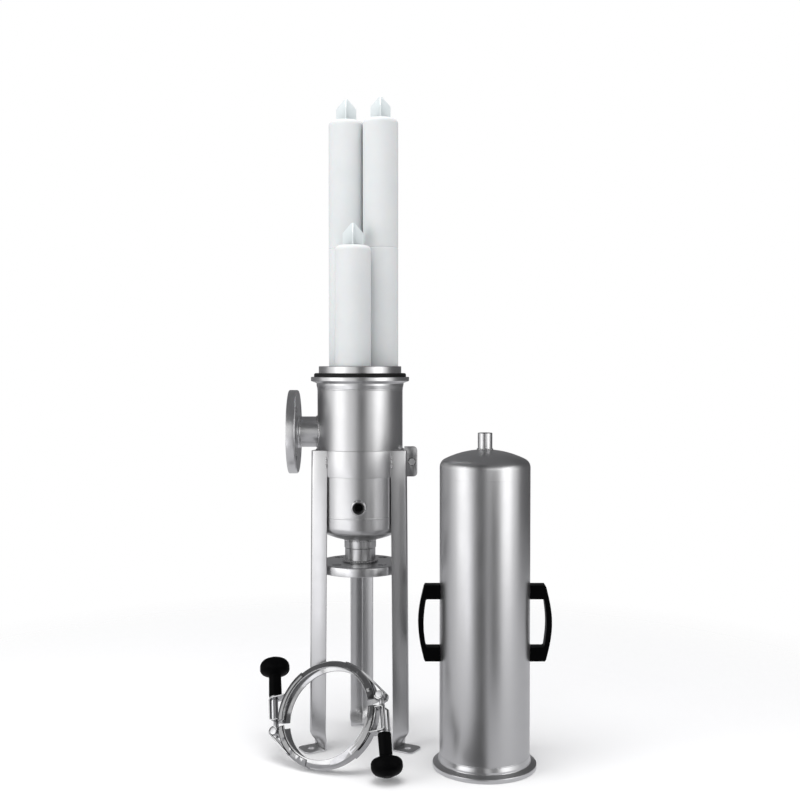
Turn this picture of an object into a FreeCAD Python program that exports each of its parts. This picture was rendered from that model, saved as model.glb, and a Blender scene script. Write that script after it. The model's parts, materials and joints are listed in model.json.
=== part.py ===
import FreeCAD, Part
import math
import os

V = FreeCAD.Vector
UP = V(0, 0, 1)
ORIGIN = V(0, 0, 0)

# Stainless steel filter housing, taken apart for display: a bowl on a three-legged stand with its
# filter cartridges, the bell-shaped lid standing beside it, and the V-band clamp that joins lid and
# bowl leaning on one leg. Millimetres and degrees. The origin is on the floor under the bowl's axis,
# +Z up, and the reader stands on the -Y side.

# Clearances
point_gap = 1e-6
seat_gap = 0.15
body_gap = 0.3
running_gap = 0.05

# Tube, dished end and pipe stock
tube_od = 168.3
tube_wall = 2.0
crown_radius = 168.3
knuckle_radius = 16.8
pipe_od = 60.3
pipe_wall = 2.0

# Joint flanges of bowl and lid
joint_rim_width = 5.75
joint_rim_thickness = 8.0
joint_taper = 20.0
joint_hub_step = 1.85
joint_hub_land = 4.0
joint_hub_slope = 8.0
joint_rim_round = 1.0
spigot_slip = 0.65
spigot_wall = 3.0
spigot_height = 21.0
spigot_chamfer = 1.0
plate_ledge_width = 4.5
plate_ledge_height = 4.0
seal_width = 9.3
seal_height = 7.5
seal_round = 3.2

# Bowl
outlet_face_height = 342.0
outlet_neck_length = 42.0
bowl_skirt = 19.5
inlet_above_band = 1.75
shell_above_inlet = 52.75
inlet_reach = 140.0
weld_collar_height = 13.0
weld_collar_step = 1.2
weld_collar_slope = 1.5
neck_into_head = 7.5
inlet_weld_height = 5.0
inlet_weld_step = 1.6
inlet_weld_round = 1.0
drain_above_seam = 22.0
drain_od = 26.0
drain_thread_bore = 18.66
drain_reach = 8.0
drain_depth = 14.0
drain_chamfer = 1.2

# Pipe flanges, DN50 PN16
pipe_flange_od = 165.0
pipe_flange_thickness = 18.0
pipe_flange_pcd = 125.0
pipe_flange_hole = 18.0
pipe_flange_holes = 4
pipe_flange_hub_step = 1.8
pipe_flange_hub_height = 4.5
pipe_flange_round = 3.5
pipe_flange_edge_round = 1.0

# Cartridge plate and sockets
plate_thickness = 12.0
socket_od = 52.0
socket_depth = 46.0
socket_shoulder_step = 3.0
socket_shoulder_height = 4.0
socket_chamfer = 1.5

# Cartridges
cartridge_od = 70.0
cartridge_pitch_radius = 41.5
module_length = 254.0
end_cap_height = 16.0
end_cap_relief = 0.6
end_cap_round = 1.5
seam_width = 2.4
seam_depth = 0.7
seam_round = 0.4
shoulder_round = 10.0
core_bore = 30.0
core_end_wall = 12.0
adapter_od = 44.0
adapter_length = 40.0
adapter_bore = 24.0
adapter_chamfer = 2.5
adapter_seal_cord = 3.4
adapter_seal_gap = 0.05
adapter_seal_first = 12.0
adapter_seal_spacing = 9.0
adapter_groove_width = 4.4
fin_width = 40.0
fin_height = 44.0
fin_shoulder = 24.0
fin_thickness = 3.0
fin_tip_width = 6.0
fin_shoulder_round = 2.0
fin_tip_round = 1.5

# Stand
band_height = 51.0
band_above_drain = 44.0
band_thickness = 3.0
band_split = 8.0
lug_reach = 26.0
lug_height = 59.0
lug_thickness = 3.0
lug_round = 8.0
lug_bolt_reach = 15.0
bolt_diameter = 8.0
bolt_hole_gap = 0.5
bolt_head_across = 13.0
bolt_head_height = 5.3
nut_height = 6.8
bolt_tail = 4.0
band_washer_od = 16.0
band_washer_thickness = 1.6
leg_flange = 30.0
leg_thickness = 3.0
leg_bend_radius = 6.0
leg_half_angle = 45.0
leg_splay = 5.0
leg_flare_height = 38.0
foot_flange = 23.0
foot_half_angle = 80.0
foot_width = 45.0
foot_end_radius = 129.0
foot_inner_overlap = 3.0
foot_corner_round = 11.0
foot_inner_round = 2.0
foot_bolt_pcd = 218.0
foot_bolt_hole = 13.0

# Lid
lid_x = 237.0
lid_y = -140.0
lid_shell_length = 518.0
lid_skirt = 18.0
vent_od = 27.0
vent_bore = 18.66
vent_length = 31.0
vent_chamfer = 1.0
vent_weld_height = 4.0
vent_weld_step = 1.2
vent_weld_round = 0.5
handle_centre_height = 270.0
handle_length = 142.0
handle_foot_height = 26.0
handle_foot_reach = 29.0
handle_bow = 11.0
handle_grip_thickness = 10.0
handle_root_step = 3.3
handle_width = 26.0
handle_edge_round = 2.5
stud_diameter = 8.0
stud_length = 20.0
stud_end_gap = 1.0

# V-band clamp
clamp_sheet = 2.5
clamp_crown_gap = 1.3
clamp_lip_gap = 1.0
clamp_crown_round = 3.0
clamp_split = 12.0
strap_sheet = 2.0
strap_half_width = 14.0
strap_skirt_step = 4.0
strap_angle = 62.0
strap_bend = 4.0
tee_bolt_diameter = 10.0
tee_bolt_chamfer = 1.0
tee_bolt_offset = 7.6
tee_head_diameter = 14.0
tee_head_length = 27.0
trunnion_beyond_split = 12.0
slot_gap = 0.5
saddle_start = 9.0
saddle_seat = 55.0
saddle_overhang = 7.5
washer_slack = 0.7
thrust_washer_od = 22.0
thrust_washer_thickness = 2.5
knob_sleeve_od = 25.0
knob_sleeve_length = 42.0
knob_head_od = 58.0
knob_head_height = 37.0
knob_neck_round = 2.0
knob_underside_rise = 7.0
knob_rim_round = 9.0
knob_crown_drop = 9.0
knob_crown_round = 14.0
knob_cap_radius = 8.0
knob_cap_round = 12.0
knob_thread_engaged = 45.0
knob_bore_spare = 14.0
knob_bush_od = 15.0
knob_bush_length = 20.0
clamp_yaw = 27.0
clamp_lean = 31.0
clamp_roll = 20.0
clamp_centre_x = -56.0
clamp_start_y = -200.0
lean_count = 12

# Places that follow from the sizes above
tube_radius = tube_od / 2
tube_bore_radius = tube_radius - tube_wall
pipe_radius = pipe_od / 2
pipe_bore_radius = pipe_radius - pipe_wall
crown_drop = math.sqrt((crown_radius - knuckle_radius) ** 2 - (tube_radius - knuckle_radius) ** 2)
dish_depth = crown_radius - crown_drop
taper_slope = math.tan(math.radians(joint_taper))
spigot_radius = tube_bore_radius - spigot_slip
spigot_bore_radius = spigot_radius - spigot_wall
seal_recess_radius = spigot_radius + seat_gap + seal_width + body_gap
joint_flange_radius = seal_recess_radius + joint_rim_width
joint_hub_radius = tube_radius + joint_hub_step
joint_taper_height = (joint_flange_radius - joint_hub_radius) * taper_slope
joint_back = joint_rim_thickness + joint_taper_height
joint_length = joint_back + joint_hub_land + joint_hub_slope
head_bottom = outlet_face_height + pipe_flange_thickness + outlet_neck_length
head_tangent = head_bottom + dish_depth
shell_bottom = head_tangent + bowl_skirt
drain_height = shell_bottom + drain_above_seam
band_bottom_height = drain_height + drain_od / 2 + band_above_drain
band_top_height = band_bottom_height + band_height
inlet_height = band_top_height + inlet_above_band + inlet_weld_step + pipe_radius
shell_top = inlet_height + pipe_radius + inlet_weld_step + shell_above_inlet
bowl_shell_length = shell_top - shell_bottom
joint_face = shell_top + joint_length
socket_bore_radius = adapter_od / 2 + running_gap
band_radius = tube_radius + seat_gap
band_outer_radius = band_radius + band_thickness
leg_azimuths = {"leg_back": 90.0, "leg_left": 210.0, "leg_right": 330.0}
cartridge_azimuths = {"right": 13.0, "rear": 133.0, "front": 253.0}
cartridge_module_counts = {"right": 2, "rear": 2, "front": 1}
clamp_crown_bore = joint_flange_radius + clamp_crown_gap
clamp_crown_radius = clamp_crown_bore + clamp_sheet
clamp_lip_radius = joint_hub_radius + clamp_lip_gap
strap_skirt_radius = clamp_lip_radius + strap_skirt_step
strap_radius = clamp_crown_radius + seat_gap + strap_sheet
tee_bolt_radius = tee_bolt_diameter / 2
tee_line = strap_radius + tee_bolt_offset
eye_radius = tee_head_diameter / 2 + running_gap


# Drawing helpers

def polar(radius, azimuth, height=0.0):
    """A point at a radius and azimuth about the Z axis."""
    angle = math.radians(azimuth)
    return V(radius * math.cos(angle), radius * math.sin(angle), height)


def rounded_wire(corners):
    """A closed wire through (point, radius) corners, with an arc at each corner that has a radius."""
    edges = []
    entries = []
    count = len(corners)
    for index, (point, radius) in enumerate(corners):
        before = corners[index - 1][0] - point
        after = corners[(index + 1) % count][0] - point
        if radius == 0:
            entries.append((point, point))
            continue
        before.normalize()
        after.normalize()
        half = before.getAngle(after) / 2
        start = point + before * (radius / math.tan(half))
        end = point + after * (radius / math.tan(half))
        bisector = (before + after).normalize()
        middle = point + bisector * (radius / math.sin(half) - radius)
        entries.append((start, end))
        edges.append((index, Part.Arc(start, middle, end).toShape()))
    arcs = dict(edges)
    ordered = []
    for index in range(count):
        if index in arcs:
            ordered.append(arcs[index])
        leave = entries[index][1]
        arrive = entries[(index + 1) % count][0]
        if (arrive - leave).Length > point_gap:
            ordered.append(Part.makeLine(leave, arrive))
    return Part.Wire(ordered)


def turned(profile):
    """A solid of revolution about Z from (radius, height) or (radius, height, round) points."""
    corners = []
    for point in profile:
        rounding = point[2] if len(point) > 2 else 0
        corners.append((V(point[0], 0, point[1]), rounding))
    return Part.Face(rounded_wire(corners)).revolve(ORIGIN, UP, 360)


def plate_from(corners, start, depth):
    """A plate from (x, y, round) corners, extruded along Z from start by depth."""
    wire = rounded_wire([(V(x, y, start), rounding) for x, y, rounding in corners])
    return Part.Face(wire).extrude(V(0, 0, depth))


def cylinder(radius, length, base=ORIGIN, axis=UP):
    """A round bar from base along axis."""
    return Part.makeCylinder(radius, length, base, axis)


def tube(outer, inner, length, base=ORIGIN, axis=UP):
    """A round tube from base along axis."""
    return cylinder(outer, length, base, axis).cut(cylinder(inner, length, base, axis))


def hexagon(across, height, base=ORIGIN):
    """A hexagonal prism along Z with its corners turned off as on a bolt head."""
    radius = across / math.sqrt(3)
    corners = [(base.x + radius * math.cos(math.radians(60 * k)),
                base.y + radius * math.sin(math.radians(60 * k)), 0) for k in range(6)]
    prism = plate_from(corners, base.z, height)
    trim = turned([(0, 0), (radius, 0), (radius, height - (radius - across / 2)),
                   (across / 2, height), (0, height)])
    trim.translate(base)
    return prism.common(trim)


def laid_along(shape, axis, base=ORIGIN):
    """The shape turned so that its own Z runs along axis, then moved to base."""
    placed = shape.copy()
    turn = FreeCAD.Placement(base, FreeCAD.Rotation(UP, axis))
    placed.Placement = turn.multiply(placed.Placement)
    return placed


def turned_about_z(shape, azimuth):
    """The shape turned about the Z axis."""
    return shape.copy().rotate(ORIGIN, UP, azimuth)


# Vessel parts

def dished_end(skirt):
    """A torispherical end that closes the top of a tube, with its open edge at height 0."""
    rim = skirt
    knuckle_x = tube_radius - knuckle_radius
    crown_z = rim - crown_drop
    reach = crown_radius - knuckle_radius
    lean = math.atan2(knuckle_x, crown_drop)

    def surface(offset):
        crown = crown_radius - offset
        knuckle = knuckle_radius - offset
        top = V(0, 0, crown_z + crown)
        mid = V(crown * math.sin(lean / 2), 0, crown_z + crown * math.cos(lean / 2))
        join = V(crown * math.sin(lean), 0, crown_z + crown * math.cos(lean))
        turn = (math.pi / 2 + lean) / 2
        bend = V(knuckle_x + knuckle * math.sin(turn), 0, rim + knuckle * math.cos(turn))
        side = V(knuckle_x + knuckle, 0, rim)
        return [Part.Arc(top, mid, join).toShape(), Part.Arc(join, bend, side).toShape()], top, side

    outer, outer_top, outer_side = surface(0)
    inner, inner_top, inner_side = surface(tube_wall)
    outer_foot = V(tube_radius, 0, 0)
    inner_foot = V(tube_bore_radius, 0, 0)
    edges = outer + [Part.makeLine(outer_side, outer_foot), Part.makeLine(outer_foot, inner_foot),
                     Part.makeLine(inner_foot, inner_side)]
    edges += inner + [Part.makeLine(inner_top, outer_top)]
    return Part.Face(Part.Wire(Part.__sortEdges__(edges))).revolve(ORIGIN, UP, 360)


def joint_flange_back(inner_profile):
    """The V-flange outline behind the joint face at height 0, closed by an inner profile."""
    outer = [(joint_flange_radius, 0, joint_rim_round),
             (joint_flange_radius, -joint_rim_thickness, joint_rim_round),
             (joint_hub_radius, -joint_back, joint_rim_round),
             (joint_hub_radius, -joint_back - joint_hub_land),
             (tube_radius, -joint_length),
             (tube_bore_radius, -joint_length)]
    return turned(outer + inner_profile)


def bowl_ferrule():
    """The bowl's V-flange with its spigot ring and the ledge that carries the cartridge plate."""
    ledge_radius = spigot_bore_radius - plate_ledge_width
    ledge_bottom = -plate_thickness - plate_ledge_height
    inner = [(tube_bore_radius, ledge_bottom - (tube_bore_radius - ledge_radius) / 2),
             (ledge_radius, ledge_bottom),
             (ledge_radius, -plate_thickness),
             (spigot_bore_radius, -plate_thickness),
             (spigot_bore_radius, spigot_height),
             (spigot_radius - spigot_chamfer, spigot_height),
             (spigot_radius, spigot_height - spigot_chamfer),
             (spigot_radius, 0)]
    return joint_flange_back(inner).translate(V(0, 0, joint_face))


def bowl_seal():
    """The moulded ring that lies on the flange face round the spigot."""
    inner = spigot_radius + seat_gap
    outer = inner + seal_width
    ring = turned([(inner, 0), (outer, 0), (outer, seal_height, seal_round),
                   (inner, seal_height, seal_round)])
    return ring.translate(V(0, 0, joint_face))


def bowl_shell():
    """The bowl's straight shell with the inlet hole and the drain hole."""
    shell = tube(tube_radius, tube_bore_radius, bowl_shell_length, V(0, 0, shell_bottom))
    inlet = cylinder(pipe_bore_radius, tube_od, V(0, 0, inlet_height), V(-1, 0, 0))
    drain = cylinder(drain_od / 2 + seat_gap, tube_od, V(0, 0, drain_height), V(0, -1, 0))
    return shell.cut(inlet).cut(drain)


def bowl_head():
    """The dished bottom of the bowl with the outlet hole."""
    head = dished_end(bowl_skirt)
    head = laid_along(head, V(0, 0, -1), V(0, 0, shell_bottom))
    return head.cut(cylinder(pipe_bore_radius, dish_depth + bowl_skirt, V(0, 0, head_bottom - tube_wall)))


def pipe_flange():
    """A flat pipe flange with a low hub, its joint face at height 0 and its hub upwards."""
    hub_radius = pipe_radius + pipe_flange_hub_step
    rim = pipe_flange_od / 2
    top = pipe_flange_thickness
    flange = turned([(pipe_bore_radius, 0), (rim, 0, pipe_flange_edge_round),
                     (rim, top, pipe_flange_round),
                     (hub_radius, top, pipe_flange_hub_step / 2),
                     (hub_radius, top + pipe_flange_hub_height, pipe_flange_edge_round),
                     (pipe_radius + seat_gap, top + pipe_flange_hub_height),
                     (pipe_radius + seat_gap, top), (pipe_bore_radius, top)])
    for index in range(pipe_flange_holes):
        azimuth = (index + 0.5) * 360 / pipe_flange_holes
        hole = cylinder(pipe_flange_hole / 2, 3 * top, polar(pipe_flange_pcd / 2, azimuth, -top))
        flange = flange.cut(hole)
    return flange


def outlet_neck():
    """The outlet pipe with its weld collar, shaped to the dished bottom."""
    start = outlet_face_height + pipe_flange_thickness
    collar = head_bottom - weld_collar_height
    collar_radius = pipe_radius + weld_collar_step
    top = head_bottom + neck_into_head
    neck = turned([(pipe_bore_radius, start), (pipe_radius, start),
                   (pipe_radius, collar - weld_collar_slope), (collar_radius, collar),
                   (collar_radius, top), (pipe_bore_radius, top)])
    crown = Part.makeSphere(crown_radius, V(0, 0, head_bottom + crown_radius))
    return neck.cut(crown)


def inlet_neck():
    """The inlet pipe with its weld bead, shaped to the side of the shell."""
    length = inlet_reach - pipe_flange_thickness
    bead_radius = pipe_radius + inlet_weld_step
    bead_end = tube_radius + inlet_weld_height
    neck = turned([(pipe_bore_radius, 0), (bead_radius, 0), (bead_radius, bead_end - inlet_weld_height),
                   (pipe_radius, bead_end, inlet_weld_round), (pipe_radius, length),
                   (pipe_bore_radius, length)])
    neck = laid_along(neck, V(-1, 0, 0), V(0, 0, inlet_height))
    return neck.cut(cylinder(tube_radius, 4 * pipe_od, V(0, 0, inlet_height - 2 * pipe_od)))


def drain_socket():
    """The threaded drain socket, welded through the shell and facing the reader."""
    face = tube_radius + drain_reach
    radius = drain_od / 2
    bore = drain_thread_bore / 2
    body = turned([(bore, 0), (radius, 0), (radius, drain_depth - drain_chamfer),
                   (radius - drain_chamfer, drain_depth), (bore + drain_chamfer, drain_depth),
                   (bore, drain_depth - drain_chamfer)])
    return laid_along(body, V(0, -1, 0), V(0, drain_depth - face, drain_height))


def cartridge_plate():
    """The round plate that holds the cartridge sockets, resting on the ferrule's ledge."""
    plate = cylinder(spigot_bore_radius - seat_gap, plate_thickness, V(0, 0, joint_face - plate_thickness))
    for azimuth in cartridge_azimuths.values():
        base = polar(cartridge_pitch_radius, azimuth, joint_face - 2 * plate_thickness)
        plate = plate.cut(cylinder(socket_od / 2 + seat_gap, 3 * plate_thickness, base))
    return plate


def cartridge_socket(azimuth):
    """One socket, flush with the top of the plate, with a shoulder under the plate."""
    outer = socket_od / 2
    shoulder = outer + socket_shoulder_step
    socket = turned([(socket_bore_radius, -socket_depth), (outer, -socket_depth),
                     (outer, -plate_thickness - socket_shoulder_height),
                     (shoulder, -plate_thickness - socket_shoulder_height),
                     (shoulder, -plate_thickness), (outer, -plate_thickness), (outer, 0),
                     (socket_bore_radius + socket_chamfer, 0), (socket_bore_radius, -socket_chamfer)])
    return socket.translate(polar(cartridge_pitch_radius, azimuth, joint_face))


# Cartridges, each drawn about its own axis with its seat on the plate at height 0

def cartridge_adapter():
    """The moulded bottom cap with its plug and the grooves for two sealing rings."""
    cap = cartridge_od / 2
    plug = adapter_od / 2
    groove = plug - adapter_seal_cord - adapter_seal_gap
    points = [(adapter_bore / 2, end_cap_height), (adapter_bore / 2, -adapter_length),
              (plug - adapter_chamfer, -adapter_length), (plug, adapter_chamfer - adapter_length)]
    for centre in adapter_ring_levels()[::-1]:
        low = centre - adapter_groove_width / 2
        high = centre + adapter_groove_width / 2
        points += [(plug, low), (groove, low), (groove, high), (plug, high)]
    points += [(plug, 0), (cap, 0, end_cap_round), (cap, end_cap_height - seam_width),
               (cap - end_cap_relief, end_cap_height - seam_width), (cap - end_cap_relief, end_cap_height)]
    return turned(points)


def adapter_ring_levels():
    """Heights of the two sealing rings below the cartridge's seat."""
    return [-adapter_seal_first, -adapter_seal_first - adapter_seal_spacing]


def cartridge_rings():
    """The two sealing rings of a cartridge plug."""
    cord = adapter_seal_cord / 2
    radius = adapter_od / 2 - cord
    rings = [Part.makeTorus(radius, cord, V(0, 0, level)) for level in adapter_ring_levels()]
    return Part.makeCompound(rings)


def cartridge_body(modules):
    """The filter sleeve of one or two welded modules with a rounded top shoulder."""
    outer = cartridge_od / 2
    top = modules * module_length
    bore = core_bore / 2
    points = [(bore, end_cap_height), (outer, end_cap_height)]
    for index in range(1, modules):
        seam = index * module_length
        points += [(outer, seam - seam_width / 2, seam_round), (outer - seam_depth, seam),
                   (outer, seam + seam_width / 2, seam_round)]
    points += [(outer, top, shoulder_round), (0, top), (0, top - core_end_wall),
               (bore, top - core_end_wall)]
    return turned(points)


def cartridge_fin(modules):
    """The two crossed locating blades on top of a cartridge."""
    half = fin_width / 2
    tip = fin_tip_width / 2
    outline = [(-half, 0, 0), (half, 0, 0), (half, fin_shoulder, fin_shoulder_round),
               (tip, fin_height, fin_tip_round), (-tip, fin_height, fin_tip_round),
               (-half, fin_shoulder, fin_shoulder_round)]
    blade = plate_from(outline, -fin_thickness / 2, fin_thickness)
    blade.rotate(ORIGIN, V(1, 0, 0), 90)
    crossed = blade.fuse(turned_about_z(blade, 90))
    return crossed.removeSplitter().translate(V(0, 0, modules * module_length))


def placed_cartridge(shape, azimuth):
    """A cartridge piece moved over its socket, a body gap above the plate."""
    return shape.copy().translate(polar(cartridge_pitch_radius, azimuth, joint_face + body_gap))


# Stand

def stand_band():
    """The split ring that grips the bowl."""
    ring = tube(band_outer_radius, band_radius, band_height, V(0, 0, band_bottom_height))
    slot = Part.makeBox(tube_od, band_split, 2 * band_height,
                        V(0, -band_split / 2, band_bottom_height - band_height / 2))
    return ring.cut(slot)


def band_lug(side):
    """One of the two lug plates beside the split, on the side given by its sign."""
    inner = tube_radius + seat_gap
    outer = band_outer_radius + lug_reach
    low = band_centre() - lug_height / 2
    corners = [(inner, low, 0), (outer, low, lug_round), (outer, low + lug_height, lug_round),
               (inner, low + lug_height, 0)]
    plate = plate_from(corners, 0, lug_thickness)
    plate.rotate(ORIGIN, V(1, 0, 0), 90)
    inner_face = band_split / 2 if side > 0 else -band_split / 2 - lug_thickness
    plate.translate(V(0, inner_face + lug_thickness, 0))
    hole = cylinder(bolt_diameter / 2 + bolt_hole_gap / 2, tube_od, band_bolt_point(-tube_radius), V(0, 1, 0))
    trim = cylinder(inner, 2 * lug_height, V(0, 0, low - lug_height / 2))
    ring = tube(band_outer_radius, band_radius, band_height, V(0, 0, band_bottom_height))
    return plate.cut(hole).cut(trim).cut(ring)


def band_centre():
    """Height of the middle of the stand's band."""
    return band_bottom_height + band_height / 2


def band_bolt_point(y):
    """A point on the band bolt's axis."""
    return V(band_outer_radius + lug_bolt_reach, y, band_centre())


def lug_outer_face():
    """Distance of each lug's outer face from the plane of the split."""
    return band_split / 2 + lug_thickness


def band_bolt():
    """The hexagon bolt that closes the band, its head towards the reader."""
    under_head = lug_outer_face() + band_washer_thickness
    tail = lug_outer_face() + band_washer_thickness + nut_height + bolt_tail
    head = hexagon(bolt_head_across, bolt_head_height, V(0, 0, under_head))
    shank = cylinder(bolt_diameter / 2, under_head + tail, V(0, 0, -tail))
    return laid_along(head.fuse(shank), V(0, -1, 0), band_bolt_point(0))


def band_nut():
    """The nut behind the rear lug."""
    start = lug_outer_face() + band_washer_thickness
    nut = hexagon(bolt_head_across, nut_height).cut(cylinder(bolt_diameter / 2, nut_height))
    return laid_along(nut, V(0, 1, 0), band_bolt_point(start))


def band_washers():
    """The two washers of the band bolt."""
    ring = tube(band_washer_od / 2, bolt_diameter / 2 + seat_gap, band_washer_thickness)
    front = laid_along(ring, V(0, -1, 0), band_bolt_point(-lug_outer_face()))
    rear = laid_along(ring, V(0, 1, 0), band_bolt_point(lug_outer_face()))
    return Part.makeCompound([front, rear])


def angle_wire(flange, half_angle, tip_radius, height):
    """The section of a folded angle, corner outwards along X, with its two tips at tip_radius."""
    angle = math.radians(half_angle)
    along = V(-math.cos(angle), math.sin(angle), 0)
    normal = V(math.sin(angle), math.cos(angle), 0)
    corner = V(tip_radius + flange * math.cos(angle), 0, height)
    centre = corner - V(leg_bend_radius / math.sin(angle), 0, 0)
    inner_bend = leg_bend_radius - leg_thickness

    def mirrored(point):
        return V(point.x, -point.y, point.z)

    outer_tip = corner + along * flange
    inner_tip = outer_tip - normal * leg_thickness
    outer_end = centre + normal * leg_bend_radius
    inner_end = centre + normal * inner_bend
    outer_arc = Part.Arc(outer_end, centre + V(leg_bend_radius, 0, 0), mirrored(outer_end))
    inner_arc = Part.Arc(mirrored(inner_end), centre + V(inner_bend, 0, 0), inner_end)
    edges = [Part.makeLine(outer_tip, outer_end), outer_arc.toShape(),
             Part.makeLine(mirrored(outer_end), mirrored(outer_tip)),
             Part.makeLine(mirrored(outer_tip), mirrored(inner_tip)),
             Part.makeLine(mirrored(inner_tip), mirrored(inner_end)), inner_arc.toShape(),
             Part.makeLine(inner_end, inner_tip), Part.makeLine(inner_tip, outer_tip)]
    return Part.Wire(edges)


def leg(azimuth):
    """One folded leg, flared at the bottom into a flat foot with a bolt hole."""
    half_chord = leg_flange * math.sin(math.radians(leg_half_angle))
    tip = math.sqrt(band_outer_radius ** 2 - half_chord ** 2) - leg_thickness
    upper = angle_wire(leg_flange, leg_half_angle, tip, band_top_height)
    lower = angle_wire(leg_flange, leg_half_angle, tip + leg_splay, leg_flare_height)
    shaft = Part.makeLoft([upper, lower], True, True)
    sole = angle_wire(foot_flange, foot_half_angle, tip + leg_splay, leg_thickness)
    flare = Part.makeLoft([lower, sole], True, True)
    half = foot_width / 2
    start = tip + leg_splay - foot_inner_overlap
    foot = plate_from([(start, -half, foot_inner_round), (foot_end_radius, -half, foot_corner_round),
                       (foot_end_radius, half, foot_corner_round), (start, half, foot_inner_round)],
                      0, leg_thickness)
    foot = foot.cut(cylinder(foot_bolt_hole / 2, 3 * leg_thickness,
                             V(foot_bolt_pcd / 2, 0, -leg_thickness)))
    solid = shaft.fuse([flare, foot]).cut(cylinder(band_outer_radius, band_top_height))
    return turned_about_z(solid.removeSplitter(), azimuth)


# Lid, drawn about its own axis with its joint face on the floor

def on_lid(shape):
    """A lid piece moved to where the lid stands."""
    return shape.copy().translate(V(lid_x, lid_y, 0))


def lid_ferrule():
    """The lid's V-flange with the recess that takes the seal."""
    inner = [(tube_bore_radius, -seal_height), (seal_recess_radius, -seal_height),
             (seal_recess_radius, 0)]
    return on_lid(laid_along(joint_flange_back(inner), V(0, 0, -1)))


def lid_shell():
    """The lid's straight shell."""
    return on_lid(tube(tube_radius, tube_bore_radius, lid_shell_length, V(0, 0, joint_length)))


def lid_dome():
    """The dished top of the lid with the vent hole."""
    base = V(0, 0, joint_length + lid_shell_length)
    dome = dished_end(lid_skirt).translate(base)
    return on_lid(dome.cut(cylinder(vent_bore / 2, lid_skirt + 2 * dish_depth, base)))


def lid_top():
    """Height of the top of the dome."""
    return joint_length + lid_shell_length + lid_skirt + dish_depth


def vent_nozzle():
    """The vent pipe on top of the lid, shaped to the dome."""
    radius = vent_od / 2
    top = lid_top() + vent_length
    base = lid_top() - vent_weld_height
    weld = radius + vent_weld_step
    nozzle = turned([(vent_bore / 2, base), (weld, base), (weld, lid_top() + vent_weld_step),
                     (radius, lid_top() + vent_weld_height, vent_weld_round), (radius, top - vent_chamfer),
                     (radius - vent_chamfer, top), (vent_bore / 2 + vent_chamfer, top),
                     (vent_bore / 2, top - vent_chamfer)])
    crown = Part.makeSphere(crown_radius, V(0, 0, lid_top() - crown_radius))
    return on_lid(nozzle.cut(crown))


def handle(azimuth):
    """A bridge handle with two block feet and a bowed grip."""
    half = handle_length / 2
    inner_half = half - handle_foot_height
    face = tube_radius + handle_foot_reach
    crest = face + handle_bow
    root = tube_radius / 2
    outer_bow = Part.Arc(V(face, 0, -half), V(crest, 0, 0), V(face, 0, half)).toShape()
    inner_face = face - handle_root_step
    inner_bow = Part.Arc(V(inner_face, 0, inner_half), V(crest - handle_grip_thickness, 0, 0),
                         V(inner_face, 0, -inner_half)).toShape()
    points = [V(face, 0, half), V(root, 0, half), V(root, 0, inner_half), V(inner_face, 0, inner_half)]
    lower = [V(inner_face, 0, -inner_half), V(root, 0, -inner_half), V(root, 0, -half), V(face, 0, -half)]
    edges = [outer_bow]
    edges += [Part.makeLine(points[k], points[k + 1]) for k in range(3)]
    edges += [inner_bow]
    edges += [Part.makeLine(lower[k], lower[k + 1]) for k in range(3)]
    profile = Part.Face(Part.Wire(edges))
    profile.translate(V(0, -handle_width / 2, 0))
    bar = profile.extrude(V(0, handle_width, 0))
    long_edges = [edge for edge in bar.Edges if edge.BoundBox.XMin > tube_radius
                  and edge.BoundBox.YLength < handle_width / 2]
    bar = bar.makeFillet(handle_edge_round, long_edges)
    bar = bar.cut(cylinder(tube_radius + seat_gap, 2 * handle_length, V(0, 0, -handle_length)))
    for level in handle_stud_levels():
        bar = bar.cut(cylinder(stud_diameter / 2 + seat_gap, tube_radius + stud_length + stud_end_gap,
                               V(0, 0, level), V(1, 0, 0)))
    bar = turned_about_z(bar, azimuth)
    return on_lid(bar.translate(V(0, 0, handle_centre_height)))


def handle_stud_levels():
    """Heights of a handle's two studs about its middle."""
    offset = (handle_length - handle_foot_height) / 2
    return [-offset, offset]


def handle_studs():
    """The four studs that hold the handles, welded to the shell."""
    studs = []
    for side in (-1, 1):
        for level in handle_stud_levels():
            stud = cylinder(stud_diameter / 2, tube_radius + stud_length,
                            V(0, 0, handle_centre_height + level), V(side, 0, 0))
            studs.append(stud.cut(cylinder(tube_radius, lid_shell_length)))
    return on_lid(Part.makeCompound(studs))


# V-band clamp, drawn in its own plane: the halves meet on the X axis and the bolts run along Y

def channel_profile(inner_radius, sheet, lip_radius, shift):
    """Half the width of a tapered channel at its lip and crown, inside and outside."""
    def inner_half(radius):
        return joint_rim_thickness + (joint_flange_radius - radius) * taper_slope + shift

    step = sheet / math.cos(math.radians(joint_taper))
    outer_radius = inner_radius + sheet
    return [(lip_radius, inner_half(lip_radius)), (lip_radius, inner_half(lip_radius) + step),
            (outer_radius, inner_half(outer_radius) + step), (inner_radius, inner_half(inner_radius))]


def channel(inner_radius, sheet, lip_radius, shift, round_radius, start, sweep):
    """A bent channel, open to the inside, over an arc of the clamp."""
    lip_in, lip_out, crown_out, crown_in = channel_profile(inner_radius, sheet, lip_radius, shift)
    inner_round = max(round_radius - sheet, 0)
    corners = [(V(lip_in[0], 0, lip_in[1]), 0), (V(lip_out[0], 0, lip_out[1]), 0),
               (V(crown_out[0], 0, crown_out[1]), round_radius),
               (V(crown_out[0], 0, -crown_out[1]), round_radius),
               (V(lip_out[0], 0, -lip_out[1]), 0), (V(lip_in[0], 0, -lip_in[1]), 0),
               (V(crown_in[0], 0, -crown_in[1]), inner_round), (V(crown_in[0], 0, crown_in[1]), inner_round)]
    section = Part.Face(rounded_wire(corners))
    section.rotate(ORIGIN, UP, start)
    return section.revolve(ORIGIN, UP, sweep)


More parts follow.
